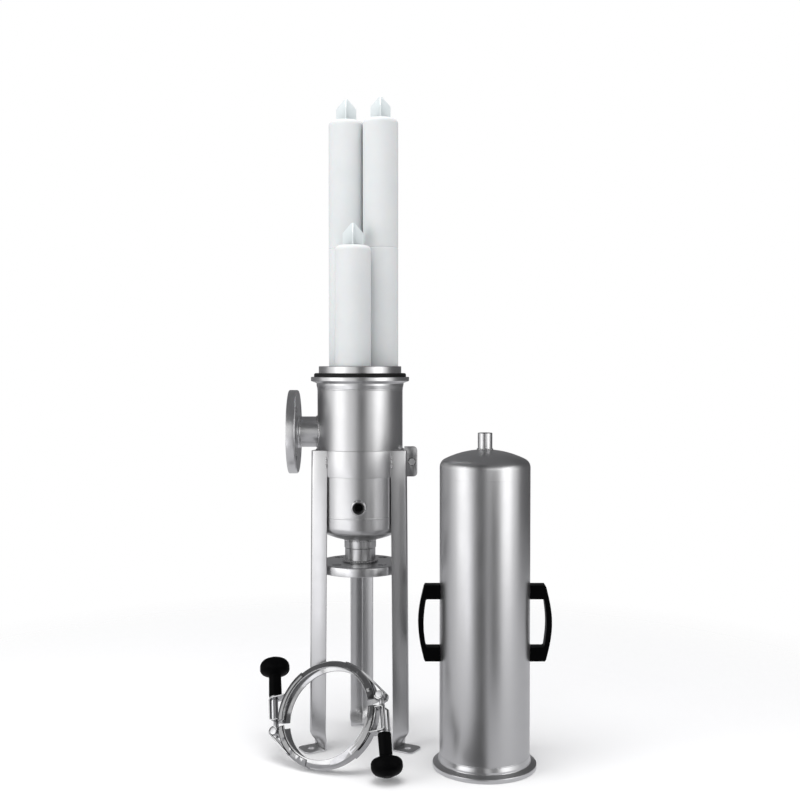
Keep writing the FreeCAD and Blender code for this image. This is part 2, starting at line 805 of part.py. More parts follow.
def above_split(shape):
    """The part of a clamp shape that stays clear of the split between the halves."""
    size = 2 * (tee_line + thrust_washer_od)
    keep = Part.makeBox(size, size, size, V(-size / 2, clamp_split / 2, -size / 2))
    return shape.common(keep)


def band_half():
    """The upper half ring of the clamp."""
    ring = channel(clamp_crown_bore, clamp_sheet, clamp_lip_radius, 0, clamp_crown_round, 0, 180)
    return above_split(ring)


def strap_wrap():
    """The part of a strap that lies on the ring, over the first stretch beside the split."""
    shift = (clamp_sheet + seat_gap) / math.cos(math.radians(joint_taper))
    inner = clamp_crown_radius + seat_gap
    wrap = channel(inner, strap_sheet, strap_skirt_radius, shift, clamp_crown_round + strap_sheet,
                   0, strap_angle)
    return above_split(wrap)


def bolt_slot(start_y, end_y):
    """The open slot that the tee bolt swings through."""
    half = tee_bolt_radius + slot_gap
    inner = tee_line - half
    return Part.makeBox(4 * tee_bolt_diameter, end_y - start_y, 2 * half, V(inner, start_y, -half))


def saddle_strap():
    """The boxed strap that the bolt's washer seats on, at the ring's right end."""
    outer = tee_line + saddle_overhang
    start_x = clamp_lip_radius / 2
    width = 2 * strap_half_width
    box = plate_from([(start_x, saddle_start, 0), (outer, saddle_start, strap_bend + strap_sheet),
                      (outer, saddle_seat, strap_bend + strap_sheet), (start_x, saddle_seat, 0)],
                     -strap_half_width, width)
    hollow = plate_from([(start_x, saddle_start + strap_sheet, 0),
                         (outer - strap_sheet, saddle_start + strap_sheet, strap_bend),
                         (outer - strap_sheet, saddle_seat - strap_sheet, strap_bend),
                         (start_x, saddle_seat - strap_sheet, 0)], -strap_half_width, width)
    ring = cylinder(clamp_crown_radius + seat_gap, width, V(0, 0, -strap_half_width))
    loop = box.cut(hollow).cut(ring)
    strap = strap_wrap().fuse(loop)
    return strap.cut(bolt_slot(0, 2 * saddle_seat)).removeSplitter()


def belt(ring_radius, end_radius):
    """The outline between the ring and an eye, closed by their common tangent, as a plate."""
    eye = V(tee_line, trunnion_beyond_split, 0)
    distance = eye.Length
    tilt = math.atan2(eye.y, eye.x) + math.acos((ring_radius - end_radius) / distance)
    normal = V(math.cos(tilt), math.sin(tilt), 0)
    corners = [ORIGIN, normal * ring_radius, eye + normal * end_radius, eye]
    width = 2 * strap_half_width
    wedge = plate_from([(point.x, point.y, 0) for point in corners], -strap_half_width, width)
    bar = cylinder(end_radius, width, V(eye.x, eye.y, -strap_half_width))
    return wedge.fuse(bar)


def trunnion_strap():
    """The looped strap that holds the cross head of the tee bolt, at the ring's right end."""
    outer = belt(strap_radius, eye_radius + strap_sheet)
    inner = belt(strap_radius - strap_sheet, eye_radius)
    ring = cylinder(clamp_crown_radius + seat_gap, 2 * strap_half_width, V(0, 0, -strap_half_width))
    loop = outer.cut(inner).cut(ring)
    clear = cylinder(eye_radius, 2 * strap_half_width,
                     V(tee_line, trunnion_beyond_split, -strap_half_width))
    half = tee_bolt_radius + slot_gap
    middle = Part.makeBox(tee_line, 2 * tee_line, 2 * half, V(strap_radius, -tee_line, -half))
    return strap_wrap().fuse(loop).cut(clear).cut(middle).removeSplitter()


def seat_distance():
    """Distance from the trunnion's axis to the saddle's seat, along the bolt."""
    return trunnion_beyond_split + saddle_seat


def washer_start():
    """Distance from the trunnion's axis to the thrust washer."""
    return seat_distance() + washer_slack


def knob_start():
    """Distance from the trunnion's axis to the mouth of the knob."""
    return washer_start() + thrust_washer_thickness + body_gap


def tee_bolt():
    """The bolt with its round cross head, drawn from the trunnion's axis along Z."""
    head = cylinder(tee_head_diameter / 2, tee_head_length, V(0, -tee_head_length / 2, 0), V(0, 1, 0))
    length = knob_start() + knob_thread_engaged
    shank = turned([(0, 0), (tee_bolt_radius, 0), (tee_bolt_radius, length - tee_bolt_chamfer),
                    (tee_bolt_radius - tee_bolt_chamfer, length), (0, length)])
    return head.fuse(shank).removeSplitter()


def thrust_washer():
    """The washer between the saddle and the knob."""
    ring = tube(thrust_washer_od / 2, tee_bolt_radius + running_gap, thrust_washer_thickness)
    return ring.translate(V(0, 0, washer_start()))


def knob():
    """The mushroom knob with its long sleeve and blind bore."""
    sleeve = knob_sleeve_od / 2
    rim = knob_head_od / 2
    top = knob_sleeve_length + knob_head_height
    body = turned([(0, 0), (sleeve, 0), (sleeve, knob_sleeve_length, knob_neck_round),
                   (rim, knob_sleeve_length + knob_underside_rise, knob_rim_round),
                   (rim, top - knob_crown_drop, knob_crown_round),
                   (knob_cap_radius, top, knob_cap_round), (0, top)])
    bore = cylinder(tee_bolt_radius + 2 * seat_gap, knob_thread_engaged + knob_bore_spare)
    bush = cylinder(knob_bush_od / 2, knob_bush_length)
    return body.cut(bore).cut(bush).translate(V(0, 0, knob_start()))


def knob_bush():
    """The threaded bush moulded into the knob."""
    bush = tube(knob_bush_od / 2, tee_bolt_radius + running_gap, knob_bush_length)
    return bush.translate(V(0, 0, knob_start()))


def on_right_bolt(shape):
    """A bolt piece moved from its own axis to the upper half's trunnion, pointing down."""
    return laid_along(shape, V(0, -1, 0), V(tee_line, trunnion_beyond_split, 0))


def half_turned(shape):
    """The same piece on the other half, a half turn about the clamp's axis."""
    return turned_about_z(shape, 180)


def clamp_pieces():
    """Every piece of the clamp in its own plane. The lower half is the upper half turned over."""
    mirror_plane = (ORIGIN, V(1, 0, 0))
    saddle = saddle_strap().mirror(*mirror_plane)
    trunnion = trunnion_strap()
    upper = {"band": band_half(), "saddle": saddle, "trunnion_loop": trunnion}
    pieces = {}
    for name, shape in upper.items():
        pieces["clamp_upper_" + name] = shape
        pieces["clamp_lower_" + name] = half_turned(shape)
    drives = {"tee_bolt": tee_bolt(), "thrust_washer": thrust_washer(), "knob": knob(),
              "knob_bush": knob_bush()}
    for name, shape in drives.items():
        right = on_right_bolt(shape)
        pieces["right_" + name] = right
        pieces["left_" + name] = half_turned(right)
    return pieces


def clamp_rotation():
    """The clamp's turn: leaned back, its right side towards the reader, and rolled."""
    yaw = math.radians(clamp_yaw)
    lean = math.radians(clamp_lean)
    normal = V(-math.sin(yaw) * math.cos(lean), -math.cos(yaw) * math.cos(lean), math.sin(lean))
    across = V(math.cos(yaw), -math.sin(yaw), 0)
    rise = normal.cross(across)
    roll = math.radians(clamp_roll)
    right = across * math.cos(roll) + rise * math.sin(roll)
    top = rise * math.cos(roll) - across * math.sin(roll)
    return FreeCAD.Rotation(right, top, normal, "ZXY")


def placed_clamp(leaned_on):
    """The clamp's pieces with the ring on the floor and leaned back until it meets the leg."""
    rotation = clamp_rotation()
    pieces = clamp_pieces()
    for shape in pieces.values():
        turn = FreeCAD.Placement(ORIGIN, rotation)
        shape.Placement = turn.multiply(shape.Placement)
    ring = Part.makeCompound([shape for name, shape in pieces.items() if name.startswith("clamp")])
    low = ring.optimalBoundingBox(False, False).ZMin
    ring.translate(V(clamp_centre_x, clamp_start_y, -low))
    travel = 0
    for _ in range(lean_count):
        gap = ring.distToShape(leaned_on)[0] - body_gap
        ring.translate(V(0, gap, 0))
        travel += gap
    shift = V(clamp_centre_x, clamp_start_y + travel, -low)
    return {name: shape.translate(shift) for name, shape in pieces.items()}


# The whole housing

def build():
    """All pieces by name."""
    parts = {
        "bowl_ferrule": bowl_ferrule(),
        "bowl_seal": bowl_seal(),
        "bowl_shell": bowl_shell(),
        "bowl_head": bowl_head(),
        "outlet_neck": outlet_neck(),
        "outlet_flange": pipe_flange().translate(V(0, 0, outlet_face_height)),
        "inlet_neck": inlet_neck(),
        "inlet_flange": laid_along(pipe_flange(), V(1, 0, 0), V(-inlet_reach, 0, inlet_height)),
        "drain_socket": drain_socket(),
        "cartridge_plate": cartridge_plate(),
        "stand_band": stand_band(),
        "band_lug_front": band_lug(-1),
        "band_lug_rear": band_lug(1),
        "band_bolt": band_bolt(),
        "band_nut": band_nut(),
        "band_washers": band_washers(),
        "lid_ferrule": lid_ferrule(),
        "lid_shell": lid_shell(),
        "lid_dome": lid_dome(),
        "vent_nozzle": vent_nozzle(),
        "handle_left": handle(180),
        "handle_right": handle(0),
        "handle_studs": handle_studs(),
    }
    for name, azimuth in leg_azimuths.items():
        parts[name] = leg(azimuth)
    for name, azimuth in cartridge_azimuths.items():
        modules = cartridge_module_counts[name]
        parts["socket_" + name] = cartridge_socket(azimuth)
        parts["cartridge_" + name + "_body"] = placed_cartridge(cartridge_body(modules), azimuth)
        parts["cartridge_" + name + "_adapter"] = placed_cartridge(cartridge_adapter(), azimuth)
        parts["cartridge_" + name + "_fin"] = placed_cartridge(cartridge_fin(modules), azimuth)
        parts["cartridge_" + name + "_rings"] = placed_cartridge(cartridge_rings(), azimuth)
    parts.update(placed_clamp(parts["leg_left"]))
    return parts


os.makedirs("parts", exist_ok=True)
for node, solid in build().items():
    solid.exportStep("parts/" + node + ".step")
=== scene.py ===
"""Looks of a stainless steel filter housing that stands taken apart on a pale floor."""

import json
import logging
import math
from dataclasses import dataclass, field
from enum import Enum
from typing import Callable, Dict, List, Optional, Sequence, Tuple

import bmesh
import bpy
from mathutils import Matrix, Vector


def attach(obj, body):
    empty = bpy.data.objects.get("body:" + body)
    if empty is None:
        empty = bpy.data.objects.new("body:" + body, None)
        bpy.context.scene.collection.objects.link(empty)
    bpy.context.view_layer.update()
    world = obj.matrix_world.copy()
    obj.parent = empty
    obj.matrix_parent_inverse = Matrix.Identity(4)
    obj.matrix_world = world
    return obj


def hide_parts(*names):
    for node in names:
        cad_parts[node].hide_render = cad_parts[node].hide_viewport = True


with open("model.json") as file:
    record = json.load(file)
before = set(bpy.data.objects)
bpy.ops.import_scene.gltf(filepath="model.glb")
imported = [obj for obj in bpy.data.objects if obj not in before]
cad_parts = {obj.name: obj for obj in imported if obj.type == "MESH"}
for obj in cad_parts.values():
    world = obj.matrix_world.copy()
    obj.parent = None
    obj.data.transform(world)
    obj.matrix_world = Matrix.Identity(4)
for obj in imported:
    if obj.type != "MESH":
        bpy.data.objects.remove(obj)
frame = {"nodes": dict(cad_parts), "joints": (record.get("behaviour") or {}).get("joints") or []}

LOG = logging.getLogger("filter_housing")
Mesh = bmesh.types.BMesh
Socket = bpy.types.NodeSocket
Colour = Tuple[float, float, float]
Point = Tuple[float, float]
Place = Tuple[float, float, float]

# A profile's corner is (radius or x, height or y), with a third number where the corner is rounded
Profile = Sequence[Sequence[float]]
Corner = Tuple[float, float, float]

FULL_TURN = 360.0
MILLIMETRE = 0.001
SENSOR = 36.0

# Facets round the largest turned pieces, and round the two shells
LARGE_STEPS = 192
SHELL_STEPS = 224


class Slot(Enum):
    """The record's material slots."""

    SATIN = "satin_steel"
    TURNED = "turned_steel"
    STAND = "stand_steel"
    CLAMP = "clamp_steel"
    FASTENER = "fastener_steel"
    SEAL = "seal_rubber"
    BLACK = "black_plastic"
    WHITE = "cartridge_white"
    FIN = "fin_plastic"


class Body(Enum):
    """The bodies that the pieces ride on."""

    HOUSING = "housing"
    LEFT_BOLT = "left_bolt"
    RIGHT_BOLT = "right_bolt"
    LEFT_WASHER = "left_washer"
    RIGHT_WASHER = "right_washer"
    LEFT_KNOB = "left_knob"
    RIGHT_KNOB = "right_knob"
    CARTRIDGE_RIGHT = "cartridge_right"
    CARTRIDGE_REAR = "cartridge_rear"
    CARTRIDGE_FRONT = "cartridge_front"


# Materials

def cleared(owner: bpy.types.ID) -> bpy.types.NodeTree:
    """The node tree of a material or world, emptied.

    Args:
        owner: The material or world.

    Returns:
        Its tree.
    """
    owner.use_nodes = True
    owner.node_tree.nodes.clear()
    return owner.node_tree


def filled(node: bpy.types.Node, **inputs: object) -> bpy.types.Node:
    """The node with constants on its named inputs, where underscores stand for spaces.

    Args:
        node: The node.
        inputs: The values by input.

    Returns:
        The same node.
    """
    for name, value in inputs.items():
        node.inputs[name.replace("_", " ")].default_value = value
    return node


@dataclass
class Graph:
    """The node tree of one material, with short calls for the nodes that the finishes use."""

    material: bpy.types.Material

    def __post_init__(self) -> None:
        """Clears the tree and adds its shader, output and object coordinates."""
        self.tree = cleared(self.material)
        self.shader = self.node("BsdfPrincipled")
        self.link(self.shader.outputs["BSDF"], self.node("OutputMaterial").inputs["Surface"])
        self.places = self.node("TexCoord").outputs["Object"]

    def node(self, kind: str, **inputs: object) -> bpy.types.Node:
        """A new node of a kind, with constants on the inputs that are named."""
        return filled(self.tree.nodes.new("ShaderNode" + kind), **inputs)

    def link(self, source: Socket, target: Socket) -> None:
        """Joins two sockets."""
        self.tree.links.new(source, target)

    def put(self, **inputs: float) -> None:
        """Sets constants on the shader's own inputs."""
        filled(self.shader, **inputs)

    def feed(self, source: Socket, name: str) -> None:
        """Joins a socket to an input of the shader."""
        self.link(source, self.shader.inputs[name])

    def scaled(self, scale: Place) -> Socket:
        """Object coordinates stretched by a scale for each axis.

        Args:
            scale: The three scales.

        Returns:
            The coordinates' socket.
        """
        node = self.node("Mapping", Scale=scale)
        self.link(self.places, node.inputs["Vector"])
        return node.outputs["Vector"]

    def noise(self, scale: float, detail: float = 4.0, rough: float = 0.55,
              places: Optional[Socket] = None) -> Socket:
        """A noise pattern.

        Args:
            scale: Size of the pattern, as a number of features in a metre.
            detail: Number of finer layers.
            rough: Weight of the finer layers.
            places: Coordinates to read, or none for the piece's own.

        Returns:
            The pattern's value socket.
        """
        node = self.node("TexNoise", Scale=scale, Detail=detail, Roughness=rough)
        self.link(places or self.places, node.inputs["Vector"])
        return node.outputs["Fac"]

    def ranged(self, value: Socket, low: float, high: float,
               start: float = 0.3, end: float = 0.7) -> Socket:
        """A value moved from one range to another.

        Args:
            value: The value's socket.
            low: What the start of its range becomes.
            high: What the end of its range becomes.
            start: Start of its range.
            end: End of its range.

        Returns:
            The new value's socket.
        """
        node = self.node("MapRange", From_Min=start, From_Max=end, To_Min=low, To_Max=high)
        self.link(value, node.inputs["Value"])
        return node.outputs["Result"]

    def mixed(self, share: Socket, first: Colour, second: Colour) -> Socket:
        """A colour between two.

        Args:
            share: Socket that says how much of the second there is.
            first: The first colour.
            second: The second colour.

        Returns:
            The colour's socket.
        """
        node = self.node("Mix")
        node.data_type = "RGBA"
        filled(node, A=(*first, 1.0), B=(*second, 1.0))
        self.link(share, node.inputs["Factor"])
        return node.outputs["Result"]

    def bump(self, height: Socket, strength: float, distance: float,
             under: Optional[Socket] = None) -> Socket:
        """A normal bent by a height.

        Args:
            height: The height's socket.
            strength: Share of the bend that is used.
            distance: Depth of the pattern in metres.
            under: An earlier normal that this one lies over, if any.

        Returns:
            The normal's socket.
        """
        node = self.node("Bump", Strength=strength, Distance=distance)
        self.link(height, node.inputs["Height"])
        if under:
            self.link(under, node.inputs["Normal"])
        return node.outputs["Normal"]


@dataclass(frozen=True)
class Finish:
    """What every surface has: a name, a tone, and a gloss that runs from smooth to dull in patches."""

    name: str
    tone: Colour
    smooth: float
    dull: float

    def material(self) -> bpy.types.Material:
        """The finish as a material, which each kind of finish makes in its own way."""
        raise NotImplementedError

    def patched(self, other: Colour, scale: float) -> Graph:
        """A new material whose tone and gloss vary in soft patches.

        Args:
            other: Tone of the patches.
            scale: Number of patches in a metre.

        Returns:
            The material's tree.
        """
        graph = Graph(bpy.data.materials.new(self.name))
        patches = graph.noise(scale, 5.0, 0.6)
        graph.feed(graph.mixed(graph.ranged(patches, 0.0, 1.0), self.tone, other), "Base Color")
        graph.feed(graph.ranged(patches, self.smooth, self.dull), "Roughness")
        return graph


@dataclass(frozen=True)
class SteelFinish(Finish):
    """A stainless surface, with its blasting grain, its brushing and the spread of its tone."""

    grain: float = 1800.0
    grain_depth: float = 0.00004
    grain_strength: float = 0.5
    brush: Place = (1.0, 1.0, 1.0)
    brush_scale: float = 0.0
    brush_depth: float = 0.0
    brush_strength: float = 0.4
    patch_scale: float = 9.0
    tone_spread: float = 0.05

    def material(self) -> bpy.types.Material:
        """The steel as a material, brushed where it has a brush scale.

        Returns:
            The material.
        """
        darker = tuple(part * (1 - self.tone_spread) for part in self.tone)
        graph = self.patched(darker, self.patch_scale)
        graph.put(Metallic=1.0)
        normal = graph.bump(graph.noise(self.grain, 2.0), self.grain_strength, self.grain_depth)
        if self.brush_scale:
            lines = graph.noise(self.brush_scale, 3.0, 0.6, graph.scaled(self.brush))
            normal = graph.bump(lines, self.brush_strength, self.brush_depth, normal)
        graph.feed(normal, "Normal")
        return graph.material


@dataclass(frozen=True)
class MouldedFinish(Finish):
    """A plastic or rubber surface, with its worn tone, fine grain, shine and how light enters it."""

    worn: Colour
    grain: float = 2200.0
    grain_depth: float = 0.00006
    grain_strength: float = 0.5
    patch_scale: float = 14.0
    level: float = 0.5
    see_through: float = 0.0
    under_skin: float = 0.0
    under_depth: float = 0.01
    bend: float = 1.45

    def material(self) -> bpy.types.Material:
        """The plastic or rubber as a material.

        Returns:
            The material.
        """
        graph = self.patched(self.worn, self.patch_scale)
        graph.put(Specular_IOR_Level=self.level, Transmission_Weight=self.see_through, IOR=self.bend,
                  Subsurface_Weight=self.under_skin, Subsurface_Scale=self.under_depth)
        grain = graph.noise(self.grain, 3.0)
        graph.feed(graph.bump(grain, self.grain_strength, self.grain_depth), "Normal")
        return graph.material


BLASTED = SteelFinish("blasted_steel", (0.60, 0.60, 0.605), 0.30, 0.38)
TURNED = SteelFinish("turned_bright_steel", (0.68, 0.68, 0.685), 0.26, 0.34, grain_depth=0.00001,
                     brush=(1.0, 1.0, 90.0), brush_scale=60.0, brush_depth=0.00003)
FOLDED = SteelFinish("folded_sheet_steel", (0.63, 0.63, 0.635), 0.28, 0.38, grain_depth=0.00002,
                     brush=(60.0, 60.0, 1.5), brush_scale=30.0, brush_depth=0.00003)
POLISHED = SteelFinish("polished_sheet_steel", (0.45, 0.45, 0.455), 0.06, 0.13,
                       grain_depth=0.000006, tone_spread=0.2, patch_scale=40.0)
MACHINED = SteelFinish("machined_steel", (0.55, 0.55, 0.56), 0.24, 0.34, grain_depth=0.00001)
# The drain's thread is near-black steel: painted shade for the shadow inside the hole
THREAD_PAINTED_SHADE = SteelFinish("thread_steel_painted_shade", (0.06, 0.06, 0.06), 0.35, 0.5)
# The band bolt is a lighter copy and its washers a near-black copy of the machined steel: a painted highlight
# on the bolt and painted shade round its head
BOLT_PAINTED_LIGHT = SteelFinish("bolt_steel_painted_light", (0.88, 0.88, 0.88), 0.5, 0.6, grain_depth=0.00002)
WASHER_PAINTED_SHADE = SteelFinish("washer_steel_painted_shade", (0.10, 0.10, 0.10), 0.4, 0.5, grain_depth=0.00002)
WELDED = SteelFinish("weld_steel", (0.62, 0.62, 0.62), 0.22, 0.34, patch_scale=120.0,
                     grain_depth=0.00003)
BLACK_MOULDED = MouldedFinish("black_moulded", (0.0012, 0.0012, 0.0013), 0.34, 0.46,
                              (0.0025, 0.0025, 0.0027), level=0.1, bend=1.2)
BLACK_SEAL = MouldedFinish("black_seal", (0.005, 0.005, 0.005), 0.42, 0.55,
                           (0.009, 0.009, 0.009), level=0.25)
WHITE_SLEEVE = MouldedFinish("white_sleeve", (0.70, 0.715, 0.715), 0.55, 0.7, (0.66, 0.68, 0.685),
                             grain=900.0, grain_depth=0.0002, level=0.2, under_skin=0.1)
WHITE_CAP = MouldedFinish("white_cap", (0.72, 0.73, 0.735), 0.35, 0.5, (0.69, 0.70, 0.71),
                          grain_depth=0.00002, level=0.3, under_skin=0.1)
PALE_FIN = MouldedFinish("pale_fin", (0.80, 0.84, 0.845), 0.3, 0.4, (0.76, 0.81, 0.815),
                         grain_depth=0.00001, level=0.2, see_through=0.12)


@dataclass
class Palette:
    """The materials by finish, made once each."""

    made: Dict[str, bpy.types.Material] = field(default_factory=dict)

    def of(self, finish: Finish) -> bpy.types.Material:
        """The material of a finish.

        Args:
            finish: The finish.

        Returns:
            Its one material.
        """
        if finish.name not in self.made:
            self.made[finish.name] = finish.material()
        return self.made[finish.name]


PALETTE = Palette()


# Mesh making, in millimetres

def upright(radius: float, height: float) -> Vector:
    """A profile's point in the plane of X and Z."""
    return Vector((radius, 0, height))


def wire(corners: Sequence[Corner], place: Callable[[float, float], Vector], closed: bool) -> Mesh:
    """A wire through corners, each (first, second, round), with its corners rounded by vertex bevels.

    Args:
        corners: The wire's corners with their rounding radii.
        place: Where a corner's two numbers lie in space.
        closed: Whether the last corner joins the first.

    Returns:
        The wire as a mesh of edges.
    """
    mesh = bmesh.new()
    verts = [mesh.verts.new(place(first, second)) for first, second, _ in corners]
    radii = {vert: corner[2] for vert, corner in zip(verts, corners)}
    for pair in list(zip(verts, verts[1:])) + ([(verts[-1], verts[0])] if closed else []):
        mesh.edges.new(pair)
    for vert, radius in radii.items():
        if radius:
            bmesh.ops.bevel(mesh, geom=[vert], offset=corner_reach(vert, radius),
                            offset_type="OFFSET", segments=5, profile=0.5, affect="VERTICES",
                            material=-1, clamp_overlap=False)
    return mesh


def corner_reach(vert: bmesh.types.BMVert, radius: float) -> float:
    """How far a round starts from its corner.

    Args:
        vert: The corner, with an edge on each side.
        radius: The round's radius.

    Returns:
        The distance along either edge.
    """
    before, after = [(edge.other_vert(vert).co - vert.co).normalized() for edge in vert.link_edges]
    half = before.angle(after) / 2
    return radius / math.tan(half)


def padded(points: Profile) -> List[Corner]:
    """Corners with a round of zero where none is given."""
    return [(point[0], point[1], point[2] if len(point) > 2 else 0.0) for point in points]


def spun(mesh: Mesh, degrees: float, steps: int, rise: float = 0.0) -> Mesh:
    """A wire spun about Z, merged where it makes one full turn.

    Args:
        mesh: The wire.
        degrees: Angle that it turns through.
        steps: Number of facets.
        rise: How far it climbs in each of them.

    Returns:
        The same mesh, with its surface.
    """
    bmesh.ops.spin(mesh, geom=mesh.verts[:] + mesh.edges[:], cent=(0, 0, 0), axis=(0, 0, 1),
                   dvec=(0, 0, rise), angle=math.radians(degrees), steps=steps,
                   use_merge=degrees == FULL_TURN and not rise, use_duplicate=False)
    return mesh


def tidied(mesh: Mesh, gap: float) -> Mesh:
    """The mesh with its doubles merged and its faces turned outwards.

    Args:
        mesh: The mesh.
        gap: Distance under which two points are one.

    Returns:
        The same mesh.
    """
    bmesh.ops.remove_doubles(mesh, verts=mesh.verts, dist=gap)
    bmesh.ops.recalc_face_normals(mesh, faces=mesh.faces)
    return mesh


def turned(points: Profile, steps: int = 160, closed: bool = True) -> Mesh:
    """A ring or a closed form turned about Z from its profile.

    Args:
        points: The profile. An open one starts and ends on the axis.
        steps: Number of facets round.
        closed: Whether the profile is a loop beside the axis.

    Returns:
        The turned mesh.
    """
    return tidied(spun(wire(padded(points), upright, closed), FULL_TURN, steps), 0.001)


def swept(points: Profile, start: float, sweep: float, steps: int) -> Mesh:
    """A closed profile turned about Z over part of a circle, with its ends closed.

    Args:
        points: The profile.
        start: Angle where it starts, in degrees from X.
        sweep: Angle that it covers, in degrees.
        steps: Number of facets.

    Returns:
        The swept mesh.
    """
    mesh = spun(turn(wire(padded(points), upright, True), start, "Z"), sweep, steps)
    return capped(mesh)


def capped(mesh: Mesh) -> Mesh:
    """The mesh with its open ends closed and its faces turned outwards.

    Args:
        mesh: The mesh.

    Returns:
        The same mesh.
    """
    bmesh.ops.holes_fill(mesh, edges=[edge for edge in mesh.edges if edge.is_boundary], sides=0)
    bmesh.ops.recalc_face_normals(mesh, faces=mesh.faces)
    return mesh


def slab(points: Profile, start: float, depth: float) -> Mesh:
    """A plate with an outline in X and Y, from start along Z by depth.

    Args:
        points: The outline.
        start: Height of its first face.
        depth: Its thickness.

    Returns:
        The plate's mesh.
    """
    mesh = wire(padded(points), lambda x, y: Vector((x, y, start)), True)
    bmesh.ops.contextual_create(mesh, geom=mesh.edges[:])
    lifted = bmesh.ops.extrude_face_region(mesh, geom=mesh.faces[:])["geom"]
    moved = [item for item in lifted if isinstance(item, bmesh.types.BMVert)]
    bmesh.ops.translate(mesh, verts=moved, vec=(0, 0, depth))
    bmesh.ops.recalc_face_normals(mesh, faces=mesh.faces)
    return mesh


def rod(radius: float, length: float, steps: int = 48, edge: float = 0.0) -> Mesh:
    """A round bar along Z from the origin, with its ends eased where an edge is given."""
    outline = [(0, 0), (radius, 0, edge), (radius, length, edge), (0, length)]
    return turned(outline, steps, closed=False)


def turn(mesh: Mesh, degrees: float, axis: str) -> Mesh:
    """The mesh turned about one axis through the origin.

    Args:
        mesh: The mesh.
        degrees: Angle to turn it by.
        axis: Letter of the axis.

    Returns:
        The same mesh.
    """
    matrix = Matrix.Rotation(math.radians(degrees), 3, axis)
    bmesh.ops.rotate(mesh, verts=mesh.verts, cent=(0, 0, 0), matrix=matrix)
    return mesh


def shift(mesh: Mesh, x: float, y: float, z: float) -> Mesh:
    """The mesh moved."""
    bmesh.ops.translate(mesh, verts=mesh.verts, vec=(x, y, z))
    return mesh


def mapped(mesh: Mesh, matrix: Matrix) -> Mesh:
    """The mesh placed by a matrix, with its faces kept outwards.

    Args:
        mesh: The mesh.
        matrix: The matrix, which may mirror it.

    Returns:
        The same mesh.
    """
    bmesh.ops.transform(mesh, matrix=matrix, verts=mesh.verts)
    if matrix.to_3x3().determinant() < 0:
        bmesh.ops.reverse_faces(mesh, faces=mesh.faces)
    return mesh


def upside_down(mesh: Mesh) -> Mesh:
    """The mesh mirrored at height 0."""
    return mapped(mesh, Matrix.Scale(-1, 4, (0, 0, 1)))


def settled(mesh: Mesh, name: str) -> bpy.types.Mesh:
    """The mesh as mesh data.

    Args:
        mesh: The mesh, which is freed.
        name: Name of the data.

    Returns:
        The data.
    """
    data = bpy.data.meshes.new(name)
    mesh.to_mesh(data)
    mesh.free()
    return data


def linked(name: str, data: bpy.types.ID) -> bpy.types.Object:
    """A new object with its data, in the scene.

    Args:
        name: Name of the object.
        data: Its mesh, lamp or camera.

    Returns:
        The object.
    """
    item = bpy.data.objects.new(name, data)
    bpy.context.scene.collection.objects.link(item)
    return item


def joined(meshes: Sequence[Mesh]) -> Mesh:
    """Several meshes as one.

    Args:
        meshes: The meshes, which are freed.

    Returns:
        The new mesh.
    """
    whole = bmesh.new()
    for mesh in meshes:
        data = settled(mesh, "part")
        whole.from_mesh(data)
        bpy.data.meshes.remove(data)
    return whole


def eased(mesh: Mesh, width: float, segments: int = 2, limit: float = 30.0) -> Mesh:
    """The mesh with its sharp edges beveled.

    Args:
        mesh: The mesh.
        width: Width of the bevel.
        segments: Number of facets across it.
        limit: Angle between faces above which an edge counts as sharp, in degrees.

    Returns:
        The same mesh.
    """
    sharp = [edge for edge in mesh.edges
             if len(edge.link_faces) == 2 and edge.calc_face_angle() > math.radians(limit)]
    bmesh.ops.bevel(mesh, geom=sharp, offset=width, offset_type="OFFSET", segments=segments,
                    profile=0.5, affect="EDGES", material=-1, clamp_overlap=True)
    return mesh


def cut(mesh: Mesh, cutters: Sequence[Mesh]) -> Mesh:
    """The mesh less the cutters, by exact booleans.

    Args:
        mesh: The mesh, which is freed.
        cutters: What is cut out of it, in order. They are freed too.

    Returns:
        A new mesh.
    """
    for cutter in cutters:
        pair = [linked("cutting", settled(source, "cutting")) for source in (mesh, cutter)]
        body, tool = pair
        change = body.modifiers.new("cut", "BOOLEAN")
        change.operation = "DIFFERENCE"
        change.solver = "EXACT"
        change.object = tool
        bpy.context.view_layer.update()
        depsgraph = bpy.context.evaluated_depsgraph_get()
        done = bpy.data.meshes.new_from_object(body.evaluated_get(depsgraph))
        mesh = bmesh.new()
        mesh.from_mesh(done)
        for item in pair:
            data = item.data
            bpy.data.objects.remove(item)
            bpy.data.meshes.remove(data)
        bpy.data.meshes.remove(done)
    return mesh


def node_copy(node: str, width: float, limit: float = 28.0) -> Mesh:
    """A copy of a CAD node in millimetres, merged, with its flat faces joined and sharp edges eased.

    Args:
        node: Name of the node.
        width: Width of the eased edges.
        limit: Angle above which an edge is eased, in degrees.

    Returns:
        The copy's mesh.
    """
    mesh = bmesh.new()
    mesh.from_mesh(frame["nodes"][node].data)
    bmesh.ops.scale(mesh, vec=(1 / MILLIMETRE,) * 3, verts=mesh.verts)
    bmesh.ops.remove_doubles(mesh, verts=mesh.verts, dist=0.01)
    bmesh.ops.dissolve_limit(mesh, angle_limit=math.radians(0.6), use_dissolve_boundaries=False,
                             verts=mesh.verts, edges=mesh.edges)
    bmesh.ops.recalc_face_normals(mesh, faces=mesh.faces)
    return eased(mesh, width, 2, limit)


